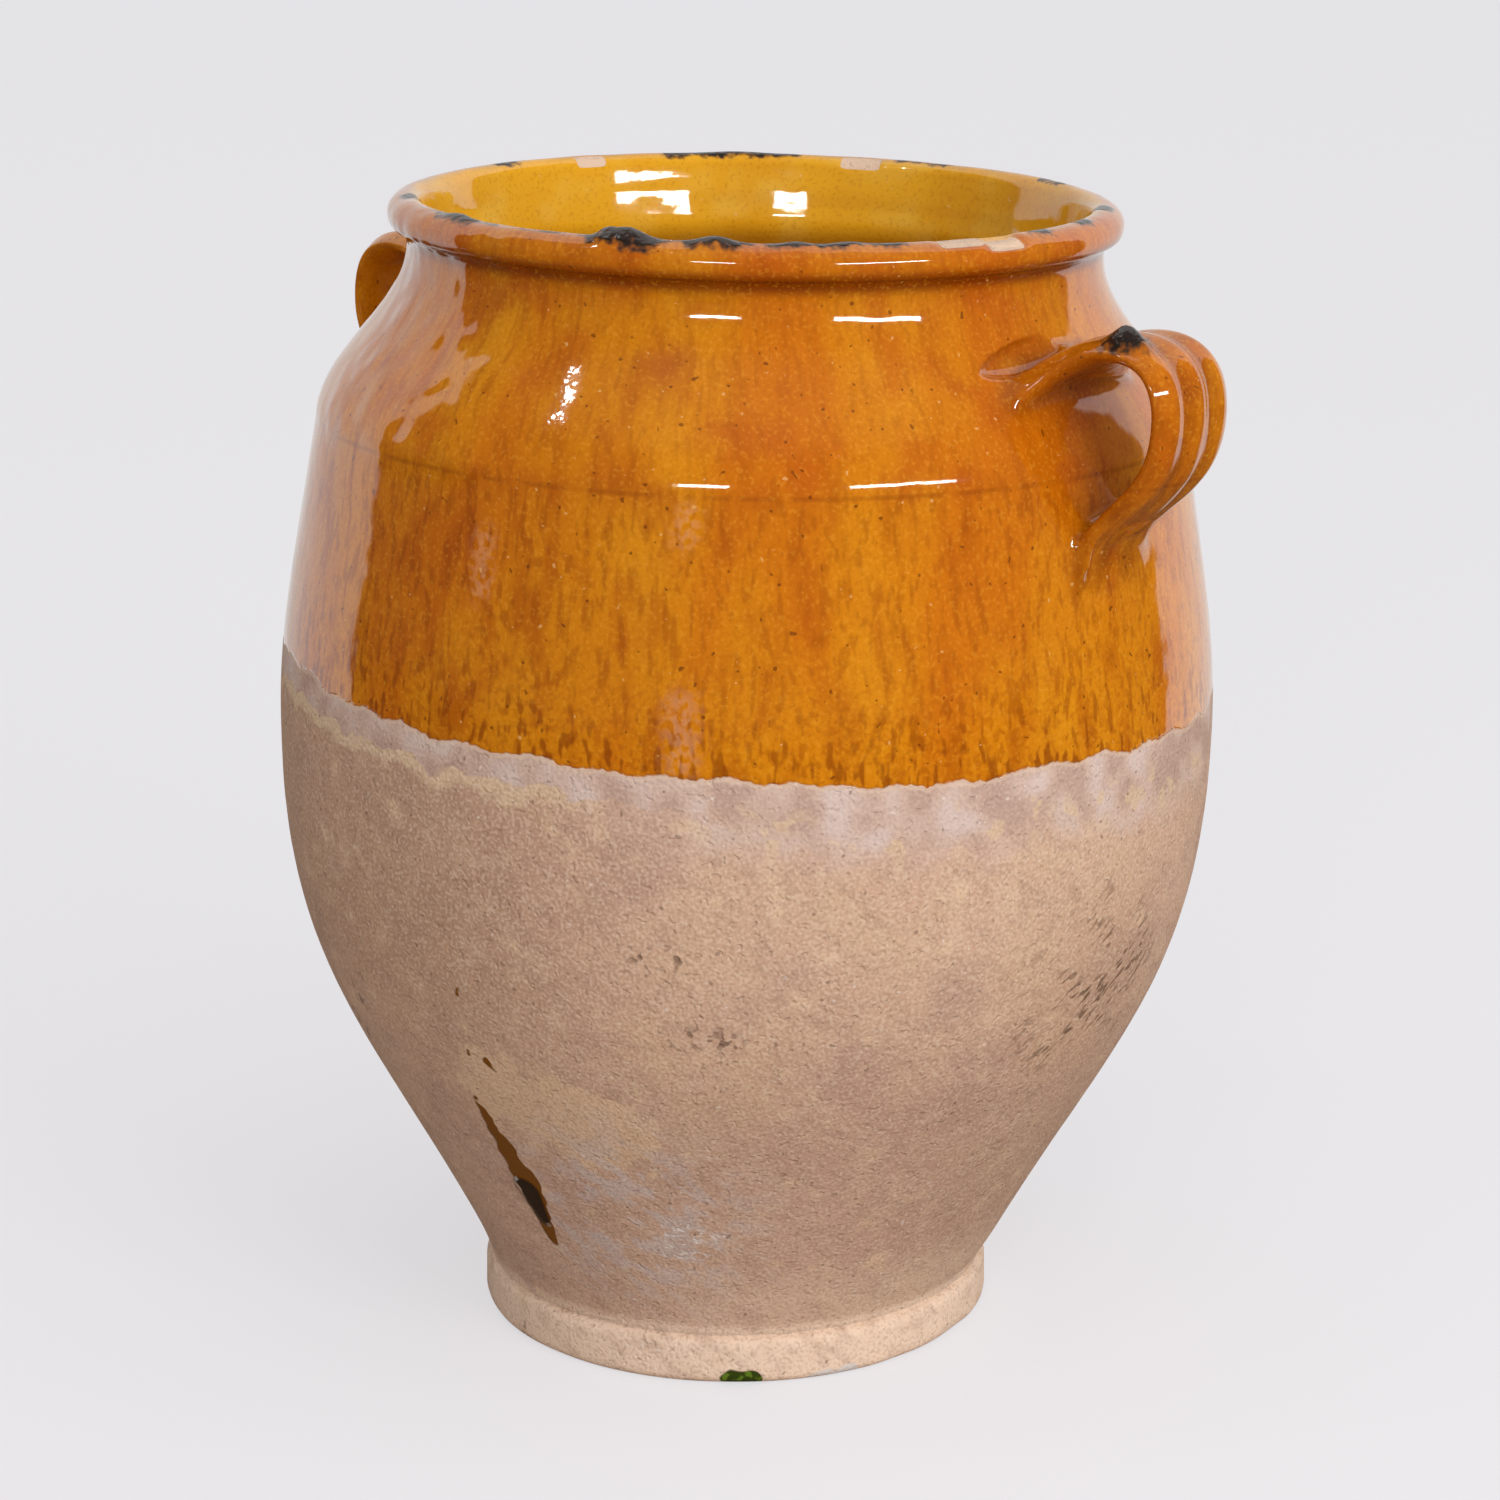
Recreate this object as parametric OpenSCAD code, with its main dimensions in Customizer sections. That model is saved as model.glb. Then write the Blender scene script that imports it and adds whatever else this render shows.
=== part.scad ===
// Confit pot: one thrown and fired earthenware jar with a turned foot, a carinated shoulder,
// a rolled rim and two pulled strap handles. The foot's face lies on z = 0 with its centre
// at the origin, and the first handle points along +X. Angles run anticlockwise from +X.

/* [Body] */
// Height of the rim's crest
height = 317; // [300:1:340]
// Largest diameter of the belly
belly_d = 260; // [246:1:290]
// Level at which the belly is widest, as a share of the height
belly_level = 0.552; // [0.48:0.002:0.6]
// Diameter at the crease where the shoulder turns in
shoulder_d = 238.8; // [230:0.1:246]
// Depth of the shoulder's crease below the rim's crest
shoulder_drop = 60.4; // [54:0.1:70]
// Outside diameter of the neck
neck_d = 189.6; // [176:0.1:204]
// Thickness of the thrown wall
wall = 7.6; // [5:0.1:10]
// Thickness of the floor at its middle
floor_t = 16; // [15:0.5:20]
// Radius of the corner between the floor and the wall inside
floor_corner = 12; // [6:0.5:20]
// How far the thrown body leans off the upright, in degrees
lean = 1.06; // [0:0.02:1.5]
// Direction of that lean
lean_dir = 40; // [0:1:359]

/* [Profile curves] */
// Rise of the straight wall above the foot, before it turns into the belly
lower_rise = 75; // [55:1:85]
// How far that wall runs out for each millimetre of rise
lower_flare = 0.5; // [0.4:0.01:0.6]
// Fullness of the belly below its widest point
belly_low = 74; // [50:1:80]
// Fullness of the belly above its widest point
belly_high = 24; // [14:1:30]
// How far the upper wall draws in for each millimetre of rise at the shoulder's crease
upper_draw = 0.16; // [0.1:0.01:0.22]
// Length over which the upper wall keeps that slope
upper_run = 44; // [30:1:50]
// Fullness of the shoulder above its crease
shoulder_full = 15.7; // [8:0.1:20]
// Height over which the shoulder hollows into the neck
neck_hollow = 16.5; // [8:0.1:20]

/* [Foot] */
// Diameter of the turned foot
foot_d = 145; // [136:1:152]
// Height of the foot's band
foot_h = 13.5; // [10:0.5:16]
// Depth of the groove between the foot and the wall
foot_groove = 1.9; // [1:0.1:3.5]
// Rounding of the foot's worn lower edge
foot_edge = 2.4; // [1:0.1:4]

/* [Rim] */
// Outside diameter of the rolled rim
rim_d = 199.8; // [198:0.1:212]
// Height from the top of the neck to the roll's crest
rim_h = 13.8; // [12:0.1:19]
// Thickness of the rim, from the roll's outer face to the narrowest part of the mouth
rim_t = 14; // [11:0.1:16]
// Distance from the roll's outer face in to its crest
rim_crest = 6.4; // [5:0.1:8]
// Height from the roll's widest point to its crest
rim_top = 5.4; // [4:0.1:7]
// Fullness of the roll's underside, below its widest point
rim_under = 6.4; // [3:0.1:8]
// Depth below the crest at which the mouth is narrowest, where the lip's inner slope ends
lip_drop = 20; // [12:0.5:22]

/* [Handles] */
// Width of the strap
strap_w = 33; // [26:0.5:40]
// Thickness of the strap over its ribs
strap_t = 8; // [6:0.1:10]
// Depth of the two finger grooves along the strap
groove = 1.5; // [0:0.1:2]
// How far the strap stands out beyond the shoulder's crease
handle_out = 27.6; // [24:0.1:36]
// Height of the upper root above the shoulder's crease
root_up = 24.4; // [20:0.1:28]
// Climb of the strap as it leaves the upper root, in degrees
root_climb = 35; // [20:1:45]
// Length over which the strap keeps that climb
root_run = 23; // [16:1:28]
// Height of the strap's outermost point above the shoulder's crease
bow_up = 18.4; // [12:0.1:24]
// Roundness of the bow above its outermost point
bow_high = 21; // [14:1:26]
// Roundness of the bow below its outermost point
bow_low = 24; // [16:1:30]
// Depth of the lower end below the shoulder's crease
end_down = 26; // [20:0.5:34]
// Length over which the lower end is drawn down along the wall
end_run = 21; // [12:1:26]
// Width that the smeared upper root gains over the strap
root_flare = 30; // [10:1:36]
// How far the sides of that smear sag down the shoulder
root_sag = 7; // [0:0.5:10]
// Turn of the second handle away from straight opposite the first, in degrees
second_turn = -2; // [-6:0.5:6]

/* [Kiln marks and wear] */
// Width of the chip in the rim
chip_w = 22; // [10:1:30]
// Depth of the chip in the rim
chip_t = 1.6; // [0.5:0.1:3]
// Place of the chip around the rim
chip_angle = -14; // [-180:1:180]
// Height of the largest burnt lump above the rim
lump_h = 2.6; // [1:0.1:4]
// Place of the largest burnt lump around the rim
lump_angle = -70; // [-180:1:180]
// Height of the burnt lump on the first handle
strap_lump_h = 3; // [1:0.1:4]

/* [Hidden] */
$fn = 144;
glaze = "#d8841c";
clay = "#c9a789";
soot = "#2b2624";

curve_steps = 9;
belly_r = belly_d / 2;
belly_z = belly_level * height;
shoulder_r = shoulder_d / 2;
shoulder_z = height - shoulder_drop;
neck_r = neck_d / 2;
rim_r = rim_d / 2;
crest_r = rim_r - rim_crest;
mouth_r = rim_r - rim_t;
roll_z = height - rim_top;
neck_z = height - rim_h;
// The thrown wall starts inside the foot and shows from the groove upwards
wall_base = 4;
lump_r = 8;
groove_r = foot_d / 2 - foot_groove;
groove_z = foot_h + groove_r * sin(lean) + 0.2;
foot_shoulder = foot_groove * 0.6;

// A cubic curve through p0 and p3, pulled towards p1 and p2
function curve(p0, p1, p2, p3, steps = curve_steps) = [
    for (i = [0 : steps])
        let (t = i / steps, s = 1 - t)
            s * s * s * p0 + 3 * s * s * t * p1 + 3 * s * t * t * p2 + t * t * t * p3
];

// Points on an ellipse about a centre, from one angle to another
function arc(centre, rx, ry, from, to, steps = 6) = [
    for (i = [0 : steps])
        let (a = from + (to - from) * i / steps)
            [centre[0] + rx * cos(a), centre[1] + ry * sin(a)]
];

function tail(points) = [for (i = [1 : len(points) - 1]) points[i]];
function reversed(points) = [for (i = [len(points) - 1 : -1 : 0]) points[i]];

// Unit direction of a run of points at point i
function heading(points, i) =
    let (a = points[max(i - 1, 0)], b = points[min(i + 1, len(points) - 1)])
        (b - a) / norm(b - a);

// The same run of points moved to its left by a distance
function shifted(points, distance) = [
    for (i = [0 : len(points) - 1])
        let (h = heading(points, i))
            points[i] + distance * [-h[1], h[0]]
];

// The wall's outer face from the foot's groove to the neck, as radius and height
lower_wall = curve(
    [groove_r, groove_z],
    [groove_r + lower_flare * lower_rise, groove_z + lower_rise],
    [belly_r, belly_z - belly_low],
    [belly_r, belly_z]);
upper_wall = curve(
    [belly_r, belly_z],
    [belly_r, belly_z + belly_high],
    [shoulder_r + upper_draw * upper_run, shoulder_z - upper_run],
    [shoulder_r, shoulder_z]);
shoulder = curve(
    [shoulder_r, shoulder_z],
    [shoulder_r - 1, shoulder_z + shoulder_full],
    [neck_r, neck_z - neck_hollow],
    [neck_r, neck_z]);
outer_wall = concat(lower_wall, tail(upper_wall), tail(shoulder));

// The roll hangs over the neck in one smooth turn and closes to its crest in an ellipse
roll = concat(
    tail(curve([neck_r, neck_z], [neck_r, neck_z + rim_under], [rim_r, roll_z - rim_under], [rim_r, roll_z])),
    tail(arc([crest_r, roll_z], rim_crest, rim_top, 0, 90)));
lip = arc([crest_r, height - lip_drop], crest_r - mouth_r, lip_drop, 90, 180, 8);

// Inside, the wall follows the outside at its own thickness down to the floor's corner
inner_wall = [
    for (p = reversed(shifted(outer_wall, wall)))
        if (p[1] > floor_t + floor_corner && p[1] < height - lip_drop - 1) p
];
inner_foot = inner_wall[len(inner_wall) - 1];
floor_arc = arc([inner_foot[0] - floor_corner, floor_t + floor_corner],
    floor_corner, floor_corner, 0, -90, 5);

// Outer radius of the wall at a height
function wall_r(z) = lookup(z, [for (p = outer_wall) [p[1], p[0]]]);

// The strap's middle line in the plane of the handle, as radius and height
bow_r = shoulder_r + handle_out - strap_t / 2;
bow_z = shoulder_z + bow_up;
root = [wall_r(shoulder_z + root_up) - wall / 2, shoulder_z + root_up];
end = [wall_r(shoulder_z - end_down) - wall / 2, shoulder_z - end_down];
strap_line = concat(
    curve(root,
        root + root_run * [cos(root_climb), sin(root_climb)],
        [bow_r, bow_z + bow_high],
        [bow_r, bow_z], 13),
    tail(curve([bow_r, bow_z],
        [bow_r, bow_z - bow_low],
        end + [0, end_run],
        end, 10)));

// Highest point of that line
top_z = max([for (p = strap_line) p[1]]);
strap_top = [for (p = strap_line) if (p[1] == top_z) p][0];

outer_steps = 18;
inner_steps = 8;

// The strap's section: three ribs with two grooves outside, nearly flat inside
function crown(u) = sqrt(max(0, 1 - pow(abs(u), 3)));
function rib(u) = (1 + cos(540 * u)) / 2 - 1;
function section(w, t, g) = concat(
    [for (i = [0 : outer_steps])
        let (u = -cos(180 * i / outer_steps))
            [w / 2 * u, crown(u) * (t / 2 + g * rib(u))]],
    [for (i = [inner_steps - 1 : -1 : 1])
        let (u = -cos(180 * i / inner_steps))
            [w / 2 * u, -crown(u) * t / 2]]);

// The root is smeared wide over the shoulder, and the lower end is drawn out thinner
function along(i) = i / (len(strap_line) - 1);
function near_root(s) = exp(-pow(s / 0.11, 2));
function strap_width(s) = strap_w + root_flare * near_root(s) - 5 * pow(s, 6);
function strap_depth(s) = strap_t * (1 + 0.25 * near_root(s) - 0.35 * pow(s, 5));
function groove_depth(s) = groove * sin(180 * min(1, s * 1.1 + 0.1));

module strap() {
    last = len(strap_line) - 1;
    ring = outer_steps + inner_steps;
    points = [
        for (i = [0 : last])
            let (s = along(i), h = heading(strap_line, i), p = strap_line[i],
                w = strap_width(s), sag = root_sag * near_root(s))
                for (q = section(w, strap_depth(s), groove_depth(s)))
                    [p[0] - q[1] * h[1], q[0], p[1] + q[1] * h[0] - sag * pow(2 * q[0] / w, 2)]
    ];
    sides = [
        for (i = [0 : last - 1], j = [0 : ring - 1])
            let (k = (j + 1) % ring)
                [i * ring + j, i * ring + k, (i + 1) * ring + k, (i + 1) * ring + j]
    ];
    start_cap = [for (j = [ring - 1 : -1 : 0]) j];
    end_cap = [for (j = [0 : ring - 1]) last * ring + j];
    polyhedron(points, concat([start_cap], sides, [end_cap]), convexity = 6);
}

// A bead of burnt slag that stands h above the point p
module lump(p, h) {
    translate(p + [0, 0, h - lump_r]) sphere(r = lump_r);
}

// The thrown wall, rim and floor, turned about the pot's own axis
module thrown_body() {
    color(glaze)
        rotate_extrude()
            polygon(concat(
                [[0, wall_base], [groove_r, wall_base]],
                outer_wall, roll, tail(lip), inner_wall, tail(floor_arc), [[0, floor_t]]));
}

module foot() {
    r = foot_d / 2;
    color(clay)
        rotate_extrude()
            polygon(concat(
                [[0, 0]],
                arc([r - foot_edge, foot_edge], foot_edge, foot_edge, -90, 0, 4),
                arc([r - foot_shoulder, foot_h - foot_shoulder], foot_shoulder, foot_shoulder, 0, 90, 4),
                [[0, foot_h]]));
}

module handles() {
    color(glaze) {
        strap();
        rotate([0, 0, 180 + second_turn]) strap();
    }
}

module kiln_lumps() {
    color(soot) {
        rotate([0, 0, lump_angle]) lump([crest_r, 0, height], lump_h);
        lump([strap_top[0], -strap_w / 3, strap_top[1] + strap_t / 2], strap_lump_h);
    }
}

module rim_chip() {
    rotate([0, 0, chip_angle])
        translate([rim_r, 0, height - chip_t])
            rotate([0, -35, 0])
                translate([0, 0, chip_w])
                    sphere(r = chip_w);
}

module pot() {
    foot();
    rotate([0, 0, lean_dir]) rotate([0, lean, 0]) rotate([0, 0, -lean_dir])
        difference() {
            union() {
                thrown_body();
                handles();
                kiln_lumps();
            }
            rim_chip();
        }
}

pot();
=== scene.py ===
import math
from functools import partial
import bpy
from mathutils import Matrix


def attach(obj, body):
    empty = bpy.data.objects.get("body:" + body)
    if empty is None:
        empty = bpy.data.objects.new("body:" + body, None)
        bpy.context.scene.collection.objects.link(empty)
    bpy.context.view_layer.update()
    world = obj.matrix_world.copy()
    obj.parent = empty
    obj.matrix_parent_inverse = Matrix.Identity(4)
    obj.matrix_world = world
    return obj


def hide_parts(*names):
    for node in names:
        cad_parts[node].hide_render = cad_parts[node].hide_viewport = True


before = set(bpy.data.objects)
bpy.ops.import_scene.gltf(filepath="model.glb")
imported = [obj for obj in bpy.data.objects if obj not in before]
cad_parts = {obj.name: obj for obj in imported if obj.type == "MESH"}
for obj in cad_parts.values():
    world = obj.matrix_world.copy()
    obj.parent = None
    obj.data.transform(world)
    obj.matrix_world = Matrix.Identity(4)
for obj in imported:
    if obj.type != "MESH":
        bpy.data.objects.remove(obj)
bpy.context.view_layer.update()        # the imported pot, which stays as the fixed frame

from types import SimpleNamespace

import bmesh
import bpy
import numpy as np
from mathutils import Matrix, Vector, noise
from mathutils.bvhtree import BVHTree

mm = 0.001
print("frame loaded")


# The thrown body in millimetres, in its own frame before it leans
potBody = dict(
    height=317.0, bellyRadius=130.0, bellyLevel=175.0, creaseRadius=119.4, creaseDrop=60.4,
    neckRadius=94.8, wall=7.6, floor=16.0, floorCorner=12.0,
    lowerRise=75.0, lowerFlare=0.5, bellyLow=74.0, bellyHigh=24.0,
    upperDraw=0.16, upperRun=44.0, shoulderFull=15.7, neckHollow=16.5,
    footRadius=72.5, footHeight=13.5, footGroove=1.4, footEdge=2.4, footShoulder=3.2,
    rimRadius=99.9, rimHeight=13.8, rimCrest=6.4, rimTop=5.4, rimUnder=6.4, rimThickness=14.0,
    lipDrop=20.0, lipRound=4.6, lipSlope=13.0, lipStraight=12.0, lipMark=0.14, lipMarkDrop=10.2,
    creaseGroove=0.02, lean=1.06, leanDirection=40.0, leanStart=1.0, leanFull=12.0,
    footWear=0.5, footBite=1.7, footBiteArc=(-13.0, 14.0), columns=316,
)

# Handles in millimetres: the strap's middle line lies in the plane of the handle
potHandle = dict(
    width=33.0, thickness=8.0, groove=1.5, out=27.6,
    rootUp=24.4, rootClimb=35.0, rootRun=23.0, bowUp=18.4, bowHigh=21.0, bowLow=24.0,
    endDown=26.0, endRun=21.0, rootFlare=30.0, rootSag=8.0, thumbSag=13.0,
    rootSpan=0.1, rootThicker=0.25, endThinner=0.35, endNarrower=3.0, endDish=1.6, endIn=-1.6,
    edgeRidge=4.8, edgeRidgeAt=0.93, edgeRidgeWidth=0.09,
    rootRidge=1.9, rootRidgeAt=0.82, rootRidgeWidth=0.12,
    second=178.0, stations=84, around=54,
)

# The thumb's press above each upper root, in millimetres, its angle taken from the handle's plane
thumbPress = dict(angle=-6.6, level=288.4, stand=2.6, long=20.5, high=5.6, deep=5.3, tilt=12.0, edge=0.5,
                  rounding=0.02)

# How the joints are melted, in millimetres: their levels, how far melting reaches and how a point may move
jointMelt = dict(
    top=4.2, low=2.8, below=14.0, above=10.0, levels=(210.0, 310.0), closerLevels=(215.0, 305.0),
    closerGap=8.5, reach=45.0, longestMove=0.9, settled=0.002, merge=0.32, rounds=7, settleSteps=4,
    thickest=8.0,            # no place inside the wall or a strap is deeper than this
)

# What the kiln and years of use left on the rim: angles in degrees from +X, sizes in millimetres
rimLumps = [
    dict(angle=-70.0, spread=5.0, height=2.8),
    dict(angle=-73.6, spread=2.6, height=1.8),
    dict(angle=-56.3, spread=5.2, height=1.7),
    dict(angle=-44.0, spread=3.4, height=0.7),
    dict(angle=-36.0, spread=4.2, height=0.6),
    dict(angle=-105.0, spread=4.5, height=0.8),
    dict(angle=133.0, spread=9.0, height=0.5),
]
rimSoot = [
    dict(start=-76.5, stop=-64.0, reach=4.6, strength=1.25),
    dict(start=-61.0, stop=-51.5, reach=3.6, strength=1.15),
    dict(start=-49.0, stop=-27.0, reach=2.9, strength=1.0),
    dict(start=-78.0, stop=-26.0, reach=2.6, strength=0.62),
    dict(start=-118.0, stop=-78.0, reach=2.0, strength=0.42),
    dict(start=-3.0, stop=2.5, reach=3.4, strength=0.9),
    dict(start=11.5, stop=17.0, reach=3.6, strength=0.85),
    dict(start=29.0, stop=35.0, reach=3.2, strength=0.9),
    dict(start=-109.5, stop=-99.5, reach=3.6, strength=0.95),
    dict(start=-134.0, stop=-128.0, reach=3.0, strength=0.9),
    dict(start=122.0, stop=147.0, reach=2.6, strength=1.0),
    dict(start=92.0, stop=104.0, reach=2.2, strength=0.75),
    dict(start=176.0, stop=183.0, reach=2.4, strength=0.8),
    dict(start=62.0, stop=70.0, reach=2.4, strength=0.7),
]
rimChips = [
    dict(start=-21.5, stop=-13.6, centre=1.6, reach=2.6, depth=0.7),
    dict(start=-12.8, stop=-6.2, centre=2.4, reach=3.9, depth=1.5),
    dict(start=158.5, stop=164.5, centre=-2.4, reach=2.4, depth=0.5),
    dict(start=106.5, stop=114.0, centre=-2.6, reach=2.6, depth=0.5),
]


def cubic(p0, p1, p2, p3, count=60):
    t = np.linspace(0, 1, count + 1)[:, None]
    s = 1 - t
    p0, p1, p2, p3 = (np.array(p, float) for p in (p0, p1, p2, p3))
    return s ** 3 * p0 + 3 * s * s * t * p1 + 3 * s * t * t * p2 + t ** 3 * p3


def ellipsePart(centre, acrossRadius, upRadius, start, stop, count=24):
    a = np.radians(np.linspace(start, stop, count + 1))
    return np.c_[centre[0] + acrossRadius * np.cos(a), centre[1] + upRadius * np.sin(a)]


def lineLengths(line):
    return np.r_[0, np.cumsum(np.linalg.norm(np.diff(line, axis=0), axis=1))]


def evenly(line, step):
    lengths = lineLengths(line)
    at = np.linspace(0, lengths[-1], max(1, round(lengths[-1] / step)) + 1)
    return np.c_[np.interp(at, lengths, line[:, 0]), np.interp(at, lengths, line[:, 1])]


def joined(*lines):
    return np.vstack([lines[0]] + [line[1:] for line in lines[1:]])


def smoothStep(x, low, high):
    t = np.clip((x - low) / (high - low), 0, 1)
    return t * t * (3 - 2 * t)


def headings(line):
    d = np.gradient(line, axis=0)
    return d / np.linalg.norm(d, axis=1)[:, None]


# The outer face from the foot's groove up to the neck, in radius and height
def wallLines():
    b = potBody
    grooveRadius = b["footRadius"] - b["footGroove"]
    grooveLevel = b["footHeight"] + grooveRadius * math.sin(math.radians(b["lean"])) + 0.2
    crease = b["height"] - b["creaseDrop"]
    neck = b["height"] - b["rimHeight"]
    lower = cubic([grooveRadius, grooveLevel],
                  [grooveRadius + b["lowerFlare"] * b["lowerRise"], grooveLevel + b["lowerRise"]],
                  [b["bellyRadius"], b["bellyLevel"] - b["bellyLow"]],
                  [b["bellyRadius"], b["bellyLevel"]])
    upper = cubic([b["bellyRadius"], b["bellyLevel"]],
                  [b["bellyRadius"], b["bellyLevel"] + b["bellyHigh"]],
                  [b["creaseRadius"] + b["upperDraw"] * b["upperRun"], crease - b["upperRun"]],
                  [b["creaseRadius"], crease])
    shoulder = cubic([b["creaseRadius"], crease],
                     [b["creaseRadius"] - 1, crease + b["shoulderFull"]],
                     [b["neckRadius"], neck - b["neckHollow"]],
                     [b["neckRadius"], neck])
    return lower, upper, shoulder


lowerWall, upperWall, shoulderWall = wallLines()
outerWall = joined(lowerWall, upperWall, shoulderWall)


def wallRadius(level):
    return np.interp(level, outerWall[:, 1], outerWall[:, 0])


# The whole closed outline: foot, outside, roll of the rim, inside and floor
def potOutline():
    b = potBody
    r, edge, corner = b["footRadius"], b["footEdge"], b["footShoulder"]
    underside = evenly(np.array([[0, 0], [r - edge, 0]], float), 6)
    footFace = joined(
        evenly(ellipsePart([r - edge, edge], edge, edge, -90, 0), 0.9),
        evenly(np.array([[r, edge], [r, b["footHeight"] - corner]], float), 1.6),
        evenly(ellipsePart([r - corner, b["footHeight"] - corner], corner, corner, 0, 80), 0.6),
        evenly(np.array([[r - 1.1, b["footHeight"] + 0.1], lowerWall[0]], float), 0.7))
    fineBand = 5.0                           # the crease gets closer rows than the wall
    lowPart = upperWall[upperWall[:, 1] < upperWall[-1, 1] - fineBand]
    creasePart = joined(upperWall[upperWall[:, 1] >= lowPart[-1, 1]],
                        shoulderWall[shoulderWall[:, 1] < shoulderWall[0, 1] + fineBand])
    highPart = shoulderWall[shoulderWall[:, 1] >= creasePart[-1, 1]]
    crest = b["rimRadius"] - b["rimCrest"]
    rollLevel = b["height"] - b["rimTop"]
    neck = b["height"] - b["rimHeight"]
    under = cubic([b["neckRadius"], neck], [b["neckRadius"], neck + b["rimUnder"]],
                  [b["rimRadius"], rollLevel - b["rimUnder"]], [b["rimRadius"], rollLevel])
    over = ellipsePart([crest, rollLevel], b["rimCrest"], b["rimTop"], 0, 90)
    mouth = b["rimRadius"] - b["rimThickness"]
    # the lip rounds over into a straight slope, and that turns upright at the throat
    slope = math.radians(b["lipSlope"])
    turn = ellipsePart([crest, b["height"] - b["lipRound"]], b["lipRound"] * 0.9, b["lipRound"], 90,
                       180 - b["lipSlope"])
    throat = [mouth, b["height"] - b["lipDrop"]]
    fall = [math.sin(slope), math.cos(slope)]
    slopeEnd = turn[-1] - b["lipStraight"] * np.array(fall)
    slopeLine = joined(np.array([turn[-1], slopeEnd]),
                       cubic(slopeEnd, slopeEnd - 1.6 * np.array(fall), [mouth, throat[1] + 2.0], throat))
    h = headings(outerWall)
    inner = (outerWall + b["wall"] * np.c_[-h[:, 1], h[:, 0]])[::-1]
    floorTop = b["floor"] + b["floorCorner"]
    inner = inner[(inner[:, 1] > floorTop) & (inner[:, 1] < b["height"] - b["lipDrop"] - 9)]
    below = headings(inner)[0]
    underThroat = cubic(throat, [mouth, throat[1] - 4.0], inner[0] - 4.0 * below, inner[0])
    cornerRadius = inner[-1, 0] - b["floorCorner"]
    bend = ellipsePart([cornerRadius, floorTop], b["floorCorner"], b["floor"] - floorTop, 0, 90)
    floor = np.array([[cornerRadius, b["floor"]], [0, b["floor"]]], float)
    return joined(underside, footFace, evenly(lowerWall, 3.1), evenly(joined(upperWall[:1], lowPart), 3.0),
                  evenly(creasePart, 0.75), evenly(highPart, 1.9), evenly(under, 1.0), evenly(over, 0.85),
                  evenly(turn, 0.9), evenly(slopeLine, 1.5), evenly(underThroat, 1.9), evenly(inner, 4.6),
                  evenly(bend, 2.5), evenly(floor, 5))


def angleGap(angles, centre):
    return (angles - centre + 180) % 360 - 180


# How far into an arc of the rim a place is, from 0 outside to 1 inside
def rimWindow(angles, start, stop, soft=1.2):
    half = (stop - start) / 2
    return 1 - smoothStep(np.abs(angleGap(angles, start + half)), half - soft, half + soft)


# Lifts and bites on the rolled rim; fromCrest runs along the outline, outside positive
def rimRelief(angles, fromCrest):
    relief = np.zeros(np.broadcast(angles, fromCrest).shape)
    arc = math.pi * (potBody["rimRadius"] - potBody["rimCrest"]) / 180
    for lump in rimLumps:
        across = angleGap(angles, lump["angle"]) * arc / lump["spread"]
        relief = relief + lump["height"] * np.exp(-across ** 2 - (fromCrest / 3.4) ** 2)
    for chip in rimChips:
        along = rimWindow(angles, chip["start"], chip["stop"], 0.8)
        down = 1 - smoothStep(np.abs(fromCrest - chip["centre"]), chip["reach"] - 0.8, chip["reach"] + 0.8)
        relief = relief - chip["depth"] * along * down
    return relief


# How the body leans over its foot, as a turn
def leanTurn():
    turn = Matrix.Rotation(math.radians(potBody["leanDirection"]), 3, "Z")
    return np.array(turn @ Matrix.Rotation(math.radians(potBody["lean"]), 3, "Y") @ turn.transposed())


# Turns points, in millimetres, by as much as their level leans; the foot stays upright
def turnedByLevel(points, turn):
    foot = potBody["footHeight"]
    share = smoothStep(points[:, 2], foot - potBody["leanStart"], foot + potBody["leanFull"])[:, None]
    return points + share * (points @ turn - points)


# Points in the pot's own frame to where they stand once the body leans
def leaned(points):
    return turnedByLevel(points, leanTurn().T)


# The body's own frame again: angle in degrees, radius and level
def unleaned(points):
    back = turnedByLevel(points, leanTurn())
    return np.degrees(np.arctan2(back[:, 1], back[:, 0])), np.hypot(back[:, 0], back[:, 1]), back[:, 2]


# Slow noise on points of any scale, about a half
def cloudsAt(points, seed, octaves=1):
    total = np.zeros(len(points))
    for octave in range(octaves):
        places = ((points + seed) * 2 ** octave).tolist()
        total += 0.5 ** octave * np.fromiter((noise.noise(place) for place in places), float, len(points))
    return 0.5 + 0.5 * total / (2 - 0.5 ** (octaves - 1))


def meshObject(name, points, faces):
    mesh = bpy.data.meshes.new(name)
    mesh.from_pydata(points.tolist(), [], faces)
    mesh.polygons.foreach_set("use_smooth", [True] * len(mesh.polygons))
    mesh.update()
    thing = bpy.data.objects.new(name, mesh)
    bpy.context.scene.collection.objects.link(thing)
    return thing


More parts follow.
